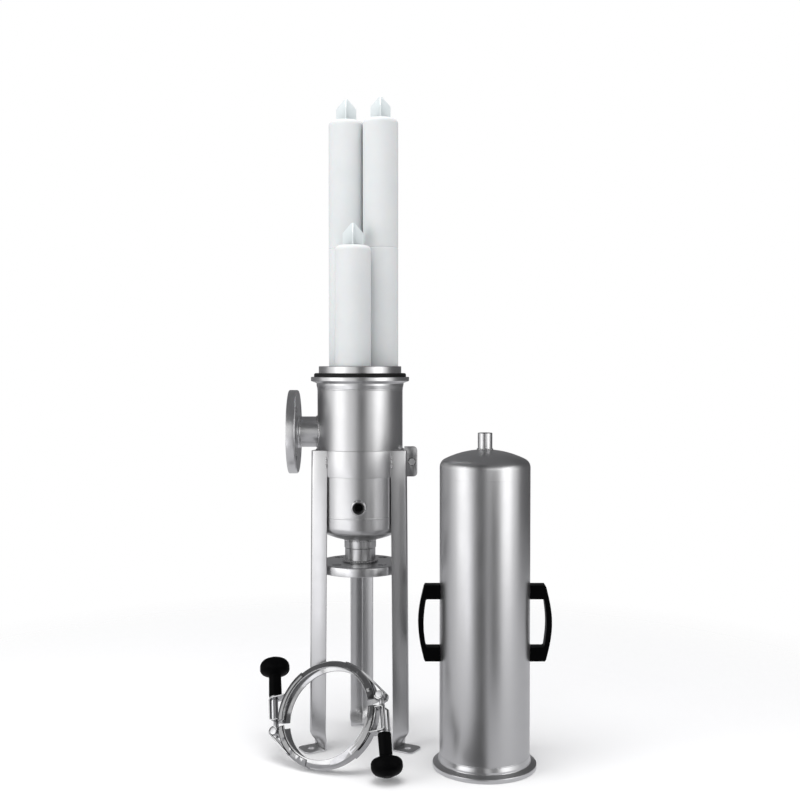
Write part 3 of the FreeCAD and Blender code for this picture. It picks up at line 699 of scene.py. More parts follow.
@dataclass(frozen=True)
class Thread:
    """A screw thread: its outer radius, the depth of its groove and its pitch."""

    radius: float
    depth: float
    pitch: float

    def helix(self, start: float, length: float, steps: int = 28) -> Mesh:
        """The thread's surface about Z.

        Args:
            start: Height where it starts.
            length: Length that it covers.
            steps: Facets in one turn.

        Returns:
            The surface.
        """
        turns = int(length / self.pitch)
        root = self.radius - self.depth
        flank = [(root, 0.0), (root, 0.12), (self.radius, 0.44), (self.radius, 0.68), (root, 1.0)]
        mesh = wire([(out, start + share * self.pitch, 0) for out, share in flank], upright, False)
        return tidied(spun(mesh, FULL_TURN * turns, turns * steps, self.pitch / steps), 0.01)


PORT_THREAD = Thread(9.48, 0.9, 1.8)
BAND_THREAD = Thread(4.0, 0.6, 1.25)
CLAMP_THREAD = Thread(5.0, 0.9, 1.5)


@dataclass(frozen=True)
class Weld:
    """A rippled weld bead: how far it stands out, its width, and its ripples round."""

    height: float
    width: float
    ripples: int
    ripple_rise: float = 0.25
    ripple_slant: float = 2.2
    wander: float = 0.06

    def ring(self, radius: float, steps: int = 320) -> Mesh:
        """The bead as a closed ring round the Z axis.

        Args:
            radius: Radius of its middle line.
            steps: Facets round.

        Returns:
            The ring.
        """
        half = self.width / 2
        root = radius - self.height
        upper = [(radius + self.height * 0.85, half * 0.35), (radius + self.height * 0.35, half * 0.75)]
        lower = [(out, -level) for out, level in upper[::-1]]
        mesh = turned([(root, -half)] + lower + [(radius + self.height, 0.0)] + upper + [(root, half)],
                      steps)
        for vert in mesh.verts:
            angle = math.atan2(vert.co.y, vert.co.x)
            wave = 0.5 + 0.5 * math.sin(self.ripples * angle + self.ripple_slant * vert.co.z / half)
            sway = math.sin(7 * angle) * 0.5 + math.sin(13 * angle + 1.0) * 0.5
            out = vert.co.xy.length
            share = max(out - radius, 0.0) / self.height
            vert.co.xy *= (out + self.height * self.ripple_rise * wave * share) / out
            vert.co.z += sway * self.wander * self.width
        return mesh


def saddled(mesh: Mesh, radius: float, level: float) -> Mesh:
    """A ring drawn about Z at height 0 laid on a round wall, as a branch's weld lies on a shell.

    Args:
        mesh: The ring, with Z pointing away from the wall.
        radius: The wall's radius.
        level: Distance of the wall's surface from the ring's zero, at the middle.

    Returns:
        The same mesh.
    """
    for vert in mesh.verts:
        sideways = min(abs(vert.co.y), radius)
        vert.co.z += level - (radius - math.sqrt(radius * radius - sideways * sideways))
    return mesh


# Pieces

@dataclass
class Piece:
    """A finished piece: what it is made of, what carries it and what it stands for."""

    name: str
    mesh: Mesh
    finish: Finish
    slot: Slot
    body: Body = Body.HOUSING
    stands_for: Tuple[str, ...] = ()
    crease: float = 32.0

    def placed(self) -> bpy.types.Object:
        """Adds the piece to the scene, in metres, at the origin.

        Returns:
            The new object.
        """
        bmesh.ops.scale(self.mesh, vec=(MILLIMETRE,) * 3, verts=self.mesh.verts)
        for face in self.mesh.faces:
            face.smooth = True
        for edge in self.mesh.edges:
            if len(edge.link_faces) == 2:
                edge.smooth = edge.calc_face_angle() < math.radians(self.crease)
        item = linked(self.name, settled(self.mesh, self.name))
        item.data.materials.append(PALETTE.of(self.finish))
        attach(item, self.body.value)
        if self.stands_for:
            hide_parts(*self.stands_for)
        LOG.info("%s: %d faces", self.name, len(item.data.polygons))
        return item


def welded(name: str, mesh: Mesh, slot: Slot = Slot.SATIN) -> None:
    """Adds a weld, which stands for no node of its own."""
    Piece(name, mesh, WELDED, slot).placed()


def dressed(nodes: Sequence[str], finish: Finish) -> None:
    """Gives carried-over CAD nodes a finish.

    Args:
        nodes: Names of the nodes.
        finish: Their finish.
    """
    for node in nodes:
        data = frame["nodes"][node].data
        data.materials.clear()
        data.materials.append(PALETTE.of(finish))
        LOG.info("%s keeps its solid", node)


@dataclass(frozen=True)
class Stock:
    """The tube, dished end and pipe that bowl and lid are made from."""

    radius: float = 84.15
    wall: float = 2.0
    crown: float = 168.3
    knuckle: float = 16.8
    pipe: float = 30.15
    pipe_wall: float = 2.0

    @property
    def bore(self) -> float:
        """Inner radius of the tube."""
        return self.radius - self.wall

    @property
    def pipe_bore(self) -> float:
        """Inner radius of the pipe."""
        return self.pipe - self.pipe_wall

    @property
    def drop(self) -> float:
        """Distance of the crown's centre from the plane where the knuckle starts."""
        return math.sqrt((self.crown - self.knuckle) ** 2 - (self.radius - self.knuckle) ** 2)

    @property
    def depth(self) -> float:
        """Depth of the dished end."""
        return self.crown - self.drop

    def dished_side(self, offset: float, hole: float, skirt: float, steps: int = 26,
                    knuckle_steps: int = 12) -> List[Point]:
        """The dished end's profile on one side of its wall, from its hole to its skirt.

        Args:
            offset: Distance inwards from the outer surface.
            hole: Radius where it starts.
            skirt: Length of the straight part under the knuckle.
            steps: Number of steps on the crown.
            knuckle_steps: Number of steps on the knuckle.

        Returns:
            The points, with the skirt's end at height 0.
        """
        crown = self.crown - offset
        knuckle = self.knuckle - offset
        middle = self.radius - self.knuckle
        lean = math.atan2(middle, self.drop)
        first = math.asin(hole / crown)
        points = []
        for k in range(steps):
            angle = first + (lean - first) * k / steps
            points.append((crown * math.sin(angle), skirt - self.drop + crown * math.cos(angle)))
        for k in range(knuckle_steps + 1):
            angle = lean + (math.pi / 2 - lean) * k / knuckle_steps
            points.append((middle + knuckle * math.sin(angle), skirt + knuckle * math.cos(angle)))
        return points + [(self.radius - offset, 0.0)]

    def dished_end(self, hole: float, skirt: float) -> Mesh:
        """A dished end with a round hole in its crown, open edge at height 0.

        Args:
            hole: Radius of the hole.
            skirt: Length of the straight part under the knuckle.

        Returns:
            The mesh.
        """
        outer = self.dished_side(0.0, hole, skirt)
        inner = self.dished_side(self.wall, hole, skirt)
        return turned(outer + inner[::-1], LARGE_STEPS)

    def tube(self, start: float, length: float, levels: int) -> Mesh:
        """A length of the tube.

        Args:
            start: Height of its lower end.
            length: Its length.
            levels: Number of rings of facets along it.

        Returns:
            The mesh.
        """
        outer = [(self.radius, start + length * k / levels) for k in range(levels + 1)]
        inner = [(self.bore, level) for _, level in outer[::-1]]
        return turned(outer + inner, SHELL_STEPS)


STOCK = Stock()


@dataclass(frozen=True)
class JointFlange:
    """The V-flange that both bowl and lid end in, with its face at height 0 and its hub below."""

    radius: float = 97.0
    rim: float = 8.0
    hub: float = 86.0
    taper: float = 20.0
    land: float = 4.0
    slope: float = 8.0
    face_ease: float = 1.0
    rim_ease: float = 1.4
    back_ease: float = 1.6
    land_ease: float = 2.5

    @property
    def back(self) -> float:
        """Distance from the face to the hub."""
        return self.rim + (self.radius - self.hub) * math.tan(math.radians(self.taper))

    @property
    def length(self) -> float:
        """Distance from the face to the end of the hub."""
        return self.back + self.land + self.slope

    def outline(self) -> List[Sequence[float]]:
        """The outer profile, from the face to the end of the hub."""
        return [(self.radius, 0.0, self.face_ease), (self.radius, -self.rim, self.rim_ease),
                (self.hub, -self.back, self.back_ease),
                (self.hub, -self.back - self.land, self.land_ease),
                (STOCK.radius, -self.length), (STOCK.bore, -self.length)]


FLANGE = JointFlange()


@dataclass
class PipeFlange:
    """A flat pipe flange with four bolt holes and a low welded hub."""

    radius: float = 82.5
    thickness: float = 18.0
    pitch_radius: float = 62.5
    hole: float = 9.0
    holes: int = 4
    hole_ease: float = 0.5
    hub_step: float = 1.8
    hub_height: float = 4.5
    face_land: float = 31.0
    back_land: float = 20.0

    def mesh(self) -> Mesh:
        """The flange with its face at height 0 and its hub upwards.

        Returns:
            The mesh.
        """
        hub = STOCK.pipe + self.hub_step
        top = self.thickness
        ring = turned([(STOCK.pipe_bore, 0, 0.6), (self.radius - self.face_land, 0),
                       (self.radius, 0, 1.2), (self.radius, top, 3.2),
                       (self.radius - self.back_land, top), (hub, top, 1.4),
                       (hub, top + self.hub_height, 1.2),
                       (STOCK.pipe_bore, top + self.hub_height)], LARGE_STEPS)
        drills = []
        for index in range(self.holes):
            angle = math.radians(FULL_TURN / self.holes * (index + 0.5))
            drills.append(shift(rod(self.hole, 3 * top), self.pitch_radius * math.cos(angle),
                                self.pitch_radius * math.sin(angle), -top))
        return eased(cut(ring, drills), self.hole_ease, 2, 60)


@dataclass
class Bowl:
    """The flanged bowl: ferrule, seal, shell, dished bottom, outlet, inlet, drain and plate."""

    outlet_face: float = 342.0
    outlet_neck: float = 42.0
    outlet_collar: float = 13.0
    collar_step: float = 1.2
    collar_cone: float = 1.5
    skirt: float = 19.5
    drain_above_seam: float = 22.0
    drain_radius: float = 13.0
    drain_bore: float = 9.33
    drain_reach: float = 8.0
    drain_depth: float = 14.0
    drain_lip: float = 1.3
    drain_mouth: float = 2.6
    drain_cone: float = 0.6
    painted_shade_lining: float = 0.4
    band_above_drain: float = 44.0
    band: float = 51.0
    inlet_above_band: float = 1.75
    inlet_weld_step: float = 1.6
    shell_above_inlet: float = 52.75
    inlet_reach: float = 140.0
    inlet_sink: float = 1.0
    spigot: float = 81.5
    spigot_wall: float = 3.0
    spigot_height: float = 21.0
    plate: float = 12.0
    ledge: float = 4.5
    ledge_wall: float = 4.0
    ledge_cone: float = 8.0
    seal_gap: float = 0.15
    seal_width: float = 9.3
    seal_height: float = 7.5
    shell_levels: int = 40
    pipe_steps: int = 144
    seam: Weld = Weld(0.42, 3.4, 150)
    outlet_weld: Weld = Weld(1.1, 4.4, 46)
    outlet_flange_weld: Weld = Weld(2.6, 4.6, 40)
    inlet_weld: Weld = Weld(1.5, 5.4, 46)
    inlet_flange_weld: Weld = Weld(1.2, 3.4, 44)
    drain_weld: Weld = Weld(1.8, 4.6, 30)

    @property
    def head_bottom(self) -> float:
        """Height of the lowest point of the dished bottom."""
        return self.outlet_face + PipeFlange.thickness + self.outlet_neck

    @property
    def shell_bottom(self) -> float:
        """Height of the seam between dished bottom and shell."""
        return self.head_bottom + STOCK.depth + self.skirt

    @property
    def drain_level(self) -> float:
        """Height of the drain's axis."""
        return self.shell_bottom + self.drain_above_seam

    @property
    def band_bottom(self) -> float:
        """Height of the lower edge of the stand's band."""
        return self.drain_level + self.drain_radius + self.band_above_drain

    @property
    def inlet_level(self) -> float:
        """Height of the inlet's axis."""
        return self.band_bottom + self.band + self.inlet_above_band + self.inlet_weld_step + STOCK.pipe

    @property
    def shell_top(self) -> float:
        """Height of the seam between shell and ferrule."""
        return self.inlet_level + STOCK.pipe + self.inlet_weld_step + self.shell_above_inlet

    @property
    def shell(self) -> float:
        """Length of the straight shell."""
        return self.shell_top - self.shell_bottom

    @property
    def joint(self) -> float:
        """Height of the joint face."""
        return self.shell_top + FLANGE.length

    def make(self) -> None:
        """Adds all pieces of the bowl."""
        self.make_ferrule()
        self.make_shell()
        self.make_bottom()
        self.make_inlet()
        self.make_drain()
        dressed(["cartridge_plate"], TURNED)

    def make_ferrule(self) -> None:
        """The V-flange with its spigot, and the seal that lies round it."""
        inside = self.spigot - self.spigot_wall
        ledge = inside - self.ledge
        inner = [(STOCK.bore, -self.plate - self.ledge_cone), (ledge, -self.plate - self.ledge_wall, 0.8),
                 (ledge, -self.plate, 0.4), (inside, -self.plate), (inside, self.spigot_height, 0.9),
                 (self.spigot, self.spigot_height, 1.3), (self.spigot, 0.0, 0.8)]
        ring = turned(FLANGE.outline() + inner, LARGE_STEPS)
        Piece("ferrule_of_bowl", shift(ring, 0, 0, self.joint), TURNED, Slot.TURNED,
              stands_for=("bowl_ferrule",)).placed()
        first = self.spigot + self.seal_gap
        last = first + self.seal_width
        ring = turned([(first, 0, 0.8), (last, 0, 0.8), (last, self.seal_height, 3.4),
                       (first, self.seal_height, 3.4)], LARGE_STEPS)
        Piece("seal_of_bowl", shift(ring, 0, 0, self.joint), BLACK_SEAL, Slot.SEAL,
              stands_for=("bowl_seal",)).placed()

    def make_shell(self) -> None:
        """The shell with its holes, and the thin seams at its two ends."""
        inlet = turn(rod(STOCK.pipe_bore, 2 * STOCK.radius, 72), -90, "Y")
        drain = turn(rod(self.drain_radius, 2 * STOCK.radius), 90, "X")
        shell = cut(STOCK.tube(self.shell_bottom, self.shell, self.shell_levels),
                    [shift(inlet, 0, 0, self.inlet_level), shift(drain, 0, 0, self.drain_level)])
        Piece("shell_of_bowl", shell, BLASTED, Slot.SATIN, stands_for=("bowl_shell",), crease=50).placed()
        for name, level in (("lower", self.shell_bottom), ("upper", self.shell_top)):
            Piece("seam_%s_of_bowl" % name, shift(self.seam.ring(STOCK.radius), 0, 0, level),
                  BLASTED, Slot.SATIN).placed()

    def make_bottom(self) -> None:
        """The dished bottom, the outlet pipe with its welds and the outlet flange."""
        head = upside_down(STOCK.dished_end(STOCK.pipe_bore, self.skirt))
        Piece("dished_bottom", shift(head, 0, 0, self.shell_bottom), BLASTED, Slot.SATIN,
              stands_for=("bowl_head",), crease=40).placed()
        start = self.outlet_face + PipeFlange.thickness
        collar = self.head_bottom - self.outlet_collar
        meet = self.head_bottom + STOCK.crown - math.sqrt(STOCK.crown ** 2 - STOCK.pipe ** 2)
        wide = STOCK.pipe + self.collar_step
        neck = turned([(STOCK.pipe_bore, start), (STOCK.pipe, start),
                       (STOCK.pipe, collar - self.collar_cone, 1.0), (wide, collar, 0.6),
                       (wide, meet), (STOCK.pipe_bore, meet - 0.4)], self.pipe_steps)
        Piece("outlet_pipe", neck, BLASTED, Slot.SATIN, stands_for=("outlet_neck",)).placed()
        welded("outlet_weld", shift(self.outlet_weld.ring(wide), 0, 0, meet - 0.6))
        bead = self.outlet_flange_weld.ring(STOCK.pipe + self.outlet_flange_weld.height)
        welded("outlet_flange_weld", shift(bead, 0, 0, start + 0.6 * PipeFlange.hub_height))
        Piece("outlet_pipe_flange", shift(PipeFlange().mesh(), 0, 0, self.outlet_face), TURNED,
              Slot.TURNED, stands_for=("outlet_flange",)).placed()

    def make_inlet(self) -> None:
        """The inlet pipe with its welds and flange, on the bowl's left side."""
        length = self.inlet_reach - PipeFlange.thickness
        pipe = turned([(STOCK.pipe_bore, 0), (STOCK.pipe, 0), (STOCK.pipe, length),
                       (STOCK.pipe_bore, length)], self.pipe_steps)
        for vert in pipe.verts:
            if vert.co.z < self.inlet_sink:
                vert.co.z = math.sqrt((STOCK.radius - self.inlet_sink) ** 2 - vert.co.y ** 2)
        Piece("inlet_pipe", self.to_left(pipe), BLASTED, Slot.SATIN, stands_for=("inlet_neck",)).placed()
        bead = saddled(self.inlet_weld.ring(STOCK.pipe + 0.2), STOCK.radius, STOCK.radius + 0.6)
        welded("inlet_weld", self.to_left(bead))
        bead = shift(self.inlet_flange_weld.ring(STOCK.pipe), 0, 0, length - PipeFlange.hub_height - 0.4)
        welded("inlet_flange_weld", self.to_left(bead))
        flange = shift(upside_down(PipeFlange().mesh()), 0, 0, self.inlet_reach)
        Piece("inlet_pipe_flange", self.to_left(flange), TURNED, Slot.TURNED,
              stands_for=("inlet_flange",)).placed()

    def to_left(self, mesh: Mesh) -> Mesh:
        """A part drawn along Z laid on the inlet's axis, pointing to the left."""
        return shift(turn(mesh, -90, "Y"), 0, 0, self.inlet_level)

    def make_drain(self) -> None:
        """The threaded drain socket with its countersunk mouth and its weld, facing the reader, with its
        thread and a lining in the mouth painted near-black as shade.
        """
        depth = self.drain_depth
        level = STOCK.radius + self.drain_reach - depth
        mouth = self.drain_radius - self.drain_lip
        seat = depth - self.drain_mouth
        throat = seat - self.drain_cone
        socket = turned([(self.drain_bore, 0), (self.drain_radius, 0), (self.drain_radius, depth, 0.7),
                         (mouth, depth, 0.3), (mouth - 0.3, seat), (self.drain_bore + 0.2, throat)], 72)
        Piece("drain_port", self.to_front(shift(socket, 0, 0, level)), TURNED, Slot.SATIN,
              stands_for=("drain_socket",)).placed()
        # A near-black lining lies in the mouth as painted shade, with a gap and a thickness of the same size
        skin = self.painted_shade_lining
        painted_shade_lining = turned([(self.drain_bore - skin, throat - 0.3), (mouth - skin, seat - 0.3),
                         (mouth - skin, depth - 0.3), (mouth - 2 * skin, depth - 0.3),
                         (mouth - 2 * skin, seat - 0.1), (self.drain_bore - skin, throat + 0.1)], 72)
        inside = joined([PORT_THREAD.helix(0.4, depth - 4.0), painted_shade_lining])
        Piece("drain_thread_painted_shade", self.to_front(shift(inside, 0, 0, level)), THREAD_PAINTED_SHADE, Slot.SATIN).placed()
        bead = turn(self.drain_weld.ring(self.drain_radius + 0.2), 90, "Z")
        welded("drain_weld", self.to_front(saddled(bead, STOCK.radius, STOCK.radius + 0.5)))

    def to_front(self, mesh: Mesh) -> Mesh:
        """A part drawn along Z laid on the drain's axis, pointing to the reader."""
        return shift(turn(turn(mesh, 90, "Z"), 90, "X"), 0, 0, self.drain_level)


@dataclass
class Cartridge:
    """A white filter sleeve on its socket, with a moulded base and crossed blades on top."""

    name: str
    azimuth: float
    modules: int
    plate_level: float
    body: Body
    gap: float = 0.3
    radius: float = 35.0
    pitch_radius: float = 41.5
    module: float = 254.0
    base: float = 16.0
    hollow: float = 15.0
    top_inner: float = 20.0
    seam_half: float = 1.2
    seam_floor: float = 0.3
    seam_depth: float = 0.7
    shoulder: float = 12.0
    shoulder_round: float = 9.0
    plug: float = 22.0
    plug_bore: float = 12.0
    plug_length: float = 40.0
    plug_taper: float = 2.5
    ring_levels: Tuple[float, float] = (-21.0, -12.0)
    ring_half: float = 2.2
    ring_depth: float = 3.45
    rim: float = 2.4
    rim_step: float = 0.6
    blade_width: float = 40.0
    blade_height: float = 44.0
    blade_shoulder: float = 24.0
    blade_tip: float = 3.0
    blade: float = 3.0
    steps: int = 128

    @property
    def node(self) -> str:
        """What the names of its nodes start with."""
        return "cartridge_" + self.name

    @property
    def top(self) -> float:
        """Height of the sleeve above the plate."""
        return self.modules * self.module

    def set_down(self, mesh: Mesh) -> Mesh:
        """A part drawn about its own axis moved over its socket."""
        angle = math.radians(self.azimuth)
        return shift(mesh, self.pitch_radius * math.cos(angle), self.pitch_radius * math.sin(angle),
                     self.plate_level + self.gap)

    def make(self) -> None:
        """Adds the sleeve, base, blades, rings and socket."""
        self.make_sleeve()
        self.make_base()
        self.make_blades()
        dressed([self.node + "_rings"], BLACK_SEAL)
        dressed(["socket_" + self.name], TURNED)

    def make_sleeve(self) -> None:
        """The sleeve, with a shallow seam between its modules and a round shoulder."""
        inner = self.radius - self.seam_depth
        outline = [(self.hollow, self.base), (self.radius, self.base, 0.3)]
        for index in range(1, self.modules):
            seam = index * self.module
            outline += [(self.radius, seam - self.seam_half, 0.4), (inner, seam - self.seam_floor),
                        (inner, seam + self.seam_floor), (self.radius, seam + self.seam_half, 0.4)]
        outline += [(self.radius, self.top - self.shoulder), (self.radius, self.top, self.shoulder_round),
                    (self.top_inner, self.top), (self.hollow, self.top)]
        Piece(self.node + "_sleeve", self.set_down(turned(outline, self.steps)), WHITE_SLEEVE,
              Slot.WHITE, self.body, (self.node + "_body",)).placed()

    def make_base(self) -> None:
        """The moulded base, with its plug and the grooves for two rings."""
        taper = self.plug - self.plug_taper
        outline = [(self.plug_bore, self.base), (self.plug_bore, -self.plug_length, 0.5),
                   (taper, -self.plug_length, 0.5), (self.plug, self.plug_taper - self.plug_length, 0.5)]
        for level in self.ring_levels:
            low, high = level - self.ring_half, level + self.ring_half
            floor = self.plug - self.ring_depth
            outline += [(self.plug, low), (floor, low), (floor, high), (self.plug, high)]
        inner = self.radius - self.rim_step
        outline += [(self.plug, 0.0, 0.3), (self.radius, 0.0, 1.6),
                    (self.radius, self.base - self.rim, 0.5), (inner, self.base - self.rim + 0.2),
                    (inner, self.base)]
        Piece(self.node + "_base", self.set_down(turned(outline, self.steps)), WHITE_CAP,
              Slot.WHITE, self.body, (self.node + "_adapter",)).placed()

    def make_blades(self) -> None:
        """The two crossed blades on top of the sleeve."""
        half = self.blade_width / 2
        tip = self.blade_tip
        outline = [(-half, 0), (half, 0), (half, self.blade_shoulder, 2.0), (tip, self.blade_height, 1.5),
                   (-tip, self.blade_height, 1.5), (-half, self.blade_shoulder, 2.0)]
        blades = []
        for spin in (0, 90):
            blade = turn(slab(outline, -self.blade / 2, self.blade), 90, "X")
            blades.append(turn(eased(blade, 0.35), spin, "Z"))
        crossed = shift(joined(blades), 0, 0, self.top)
        Piece(self.node + "_blades", self.set_down(crossed), PALE_FIN, Slot.FIN, self.body,
              (self.node + "_fin",)).placed()


@dataclass
class Stand:
    """The split band with its lugs and bolt, and three folded legs."""

    low: float
    band: float
    sheet: float = 3.0
    band_gap: float = 0.15
    half_split: float = 4.0
    lug_reach: float = 26.0
    lug_height: float = 59.0
    lug_corner: float = 8.0
    lug_start: float = 0.3
    bolt_out: float = 15.0
    bolt_hole: float = 4.25
    bolt_tail: float = 10.8
    across: float = 13.0
    head: float = 5.3
    nut: float = 6.8
    washer: float = 1.6
    washer_bore: float = 4.2
    washer_radius: float = 8.0
    drop: float = 2.3
    drop_pitch: float = 3.4
    flange: float = 30.0
    foot_flange: float = 23.0
    fold: float = 45.0
    foot_spread: float = 37.0
    bend: float = 6.0
    splay: float = 5.0
    flare: float = 38.0
    foot_width: float = 45.0
    foot_end: float = 129.0
    foot_round: float = 11.0
    foot_hole: float = 6.5
    hole_radius: float = 109.0
    leg_weld: float = 24.0
    edge: float = 0.4

    @property
    def band_radius(self) -> float:
        """Inner radius of the band."""
        return STOCK.radius + self.band_gap

    @property
    def band_outer(self) -> float:
        """Outer radius of the band."""
        return self.band_radius + self.sheet

    @property
    def top(self) -> float:
        """Height of the band's upper edge."""
        return self.low + self.band

    @property
    def middle(self) -> float:
        """Height of the band's middle."""
        return self.low + self.band / 2

    def make(self) -> None:
        """Adds all pieces of the stand."""
        self.make_band()
        self.make_bolt()
        for name, azimuth in (("back", 90.0), ("left", 210.0), ("right", 330.0)):
            self.make_leg(name, azimuth)

    def make_band(self) -> None:
        """The split band and its two lugs, with their welds."""
        split = math.degrees(math.asin(self.half_split / self.band_radius))
        ring = swept([(self.band_radius, self.low, 0.2), (self.band_outer, self.low, 0.6),
                      (self.band_outer, self.top, 0.6), (self.band_radius, self.top, 0.2)],
                     split, 360 - 2 * split, 180)
        Piece("band_of_stand", ring, FOLDED, Slot.STAND, stands_for=("stand_band",)).placed()
        half = self.lug_height / 2
        first, last = self.band_outer + self.lug_start, self.band_outer + self.lug_reach
        for name, side in (("front", -1), ("rear", 1)):
            plate = slab([(first, -half), (last, -half, self.lug_corner), (last, half, self.lug_corner),
                          (first, half)], 0, self.sheet)
            hole = shift(rod(self.bolt_hole, 3 * self.sheet, 32), self.band_outer + self.bolt_out, 0,
                         -self.sheet)
            plate = turn(eased(cut(plate, [hole]), 0.35), 90, "X")
            outer_face = self.half_split + self.sheet
            face = outer_face if side > 0 else -self.half_split
            Piece("lug_" + name, shift(plate, 0, face, self.middle), FOLDED, Slot.STAND,
                  stands_for=("band_lug_" + name,)).placed()
            seam = self.drops(self.band - 8.0)
            welded("lug_weld_" + name,
                   shift(seam, self.band_outer + 0.2, side * outer_face, self.middle), Slot.STAND)

    def drops(self, length: float) -> Mesh:
        """A short upright weld of overlapping drops about the origin.

        Args:
            length: Its length.

        Returns:
            The mesh.
        """
        drops = []
        count = int(length / self.drop_pitch)
        for index in range(count):
            drop = bmesh.new()
            bmesh.ops.create_uvsphere(drop, u_segments=16, v_segments=10, radius=self.drop)
            size = 0.85 + 0.2 * math.sin(index * 1.9)
            bmesh.ops.scale(drop, vec=(size, size, 1.15), verts=drop.verts)
            level = (index - (count - 1) / 2) * self.drop_pitch
            drops.append(shift(drop, 0.35 * math.sin(index * 2.3), 0.35 * math.cos(index * 1.7), level))
        return joined(drops)

    def make_bolt(self) -> None:
        """The bolt through the lugs, with its washers and nut; the bolt's lighter tone is painted light and
        the washers' near-black tone is painted shade.
        """
        reach = self.band_outer + self.bolt_out
        seat = self.half_split + self.sheet + self.washer
        length = 2 * seat + self.bolt_tail
        shank = joined([rod(BAND_THREAD.radius - BAND_THREAD.depth, length, 32),
                        BAND_THREAD.helix(0.6, length - 1.2)])
        bolt = joined([shift(self.hexagon(self.head, dished=True), 0, 0, seat),
                       shift(shank, 0, 0, seat - length)])
        nut = shift(self.hexagon(self.nut, dished=False), 0, 0, seat)
        rings = []
        for side in (-1, 1):
            ring = turned([(self.washer_bore, 0, 0.2), (self.washer_radius, 0, 0.3),
                           (self.washer_radius, self.washer, 0.3),
                           (self.washer_bore, self.washer, 0.2)], 48)
            rings.append(turn(shift(ring, 0, 0, seat - self.washer), 90 * side, "X"))
        # The bolt's lighter tone is a painted highlight and the washers' dark tone is painted shade
        for name, mesh, finish in (("bolt", turn(bolt, 90, "X"), BOLT_PAINTED_LIGHT),
                                   ("nut", turn(nut, -90, "X"), MACHINED),
                                   ("washers", joined(rings), WASHER_PAINTED_SHADE)):
            Piece(name + "_of_band", shift(mesh, reach, 0, self.middle), finish, Slot.FASTENER,
                  stands_for=("band_" + name,)).placed()

    def hexagon(self, height: float, dished: bool) -> Mesh:
        """A bolt head or nut along Z with its corners turned off.

        Args:
            height: Its height.
            dished: Whether its face has a shallow round recess.

        Returns:
            The mesh.
        """
        radius = self.across / math.sqrt(3)
        corners = [(radius * math.cos(math.pi * k / 3), radius * math.sin(math.pi * k / 3))
                   for k in range(6)]
        cone = turned([(radius - 1.0, height + 1), (radius + 1.4, height + 1),
                       (radius + 1.4, height - 2.2), (radius + 0.4, height - 0.9)], 48)
        prism = eased(cut(slab(corners, 0, height), [cone]), 0.18)
        if dished:
            bmesh.ops.recalc_face_normals(prism, faces=prism.faces)
            crown = max(prism.faces, key=lambda face: face.calc_center_median().z)
            for thickness, depth in ((1.4, 0), (0.6, -0.5)):
                bmesh.ops.inset_region(prism, faces=[crown], thickness=thickness, depth=depth)
        return prism

    def section(self, half_angle: float, length: float) -> List[Vector]:
        """The folded sheet's section, its two sides about the X axis, tips towards the bowl.

        Args:
            half_angle: Angle between each side and the X axis, in degrees.
            length: Length of each side from the sharp corner.

        Returns:
            Points in order round the section, with the first outer tip at X zero.
        """
        lean = math.radians(half_angle)
        most = math.pi / 2 - lean
        trim = self.bend * math.tan(most / 2)
        straight = length - trim
        points = []
        for side, offset in ((1, 0.0), (-1, self.sheet)):
            radius = self.bend - offset
            angles = [most * (k / 6 - 1) for k in range(13)]
            arc = [Vector((radius * math.cos(a), radius * math.sin(a), 0)) for a in angles]
            run = Vector((-math.cos(lean), math.sin(lean), 0)) * straight
            first = arc[0] + Vector((run.x, -run.y, 0))
            last = arc[-1] + run
            line = [first] + arc + [last]
            points += line if side > 0 else line[::-1]
        tip = points[0].x
        return [point - Vector((tip, 0, 0)) for point in points]

    def make_leg(self, name: str, azimuth: float) -> None:
        """One folded leg with its flared end and its foot.

        Args:
            name: Which leg it is.
            azimuth: Its direction from the bowl's axis, in degrees.
        """
        half_chord = self.flange * math.sin(math.radians(self.fold))
        tip = math.sqrt(self.band_outer ** 2 - half_chord ** 2) - 0.2
        mesh = eased(self.folded(tip), self.edge, 2, 50)
        half = self.foot_width / 2
        start = tip + self.splay - 1.0
        foot = slab([(start, -half, 2.0), (self.foot_end, -half, self.foot_round),
                     (self.foot_end, half, self.foot_round), (start, half, 2.0)], 0, self.sheet)
        hole = shift(rod(self.foot_hole, 3 * self.sheet, 40), self.hole_radius, 0, -self.sheet)
        foot = eased(cut(foot, [hole]), self.edge)
        Piece("folded_leg_" + name, turn(joined([mesh, foot]), azimuth, "Z"), FOLDED, Slot.STAND,
              stands_for=("leg_" + name,)).placed()
        for word, side in (("near", -1), ("far", 1)):
            seam = shift(self.drops(self.leg_weld), tip + 1.0, side * (half_chord + 0.6),
                         self.middle + 4.0)
            welded("leg_weld_%s_%s" % (name, word), turn(seam, azimuth, "Z"), Slot.STAND)

    def folded(self, tip: float, steps: int = 8, flare_steps: int = 10) -> Mesh:
        """The folded sheet of a leg along X, from the band's upper edge to the foot.

        Args:
            tip: Distance of the sheet's tips from the bowl's axis at the top.
            steps: Number of steps down to the flare.
            flare_steps: Number of steps down the flare.

        Returns:
            The mesh.
        """
        fall = self.top - self.flare
        stations = [(self.top - fall * k / steps, 0.0) for k in range(steps)]
        stations += [(self.flare - (self.flare - self.sheet) * k / flare_steps, k / flare_steps)
                     for k in range(flare_steps + 1)]
        mesh = bmesh.new()
        rings = []
        for level, share in stations:
            ease = share * share * (3 - 2 * share)
            out = tip + self.splay * min((self.top - level) / fall, 1.0)
            shape = self.section(self.fold + self.foot_spread * ease,
                                 self.flange + (self.foot_flange - self.flange) * ease)
            loop = [mesh.verts.new(point + Vector((out, 0, level))) for point in shape]
            rings.append([mesh.edges.new(pair) for pair in zip(loop, loop[1:] + loop[:1])])
        for first, second in zip(rings, rings[1:]):
            bmesh.ops.bridge_loops(mesh, edges=first + second)
        return capped(mesh)


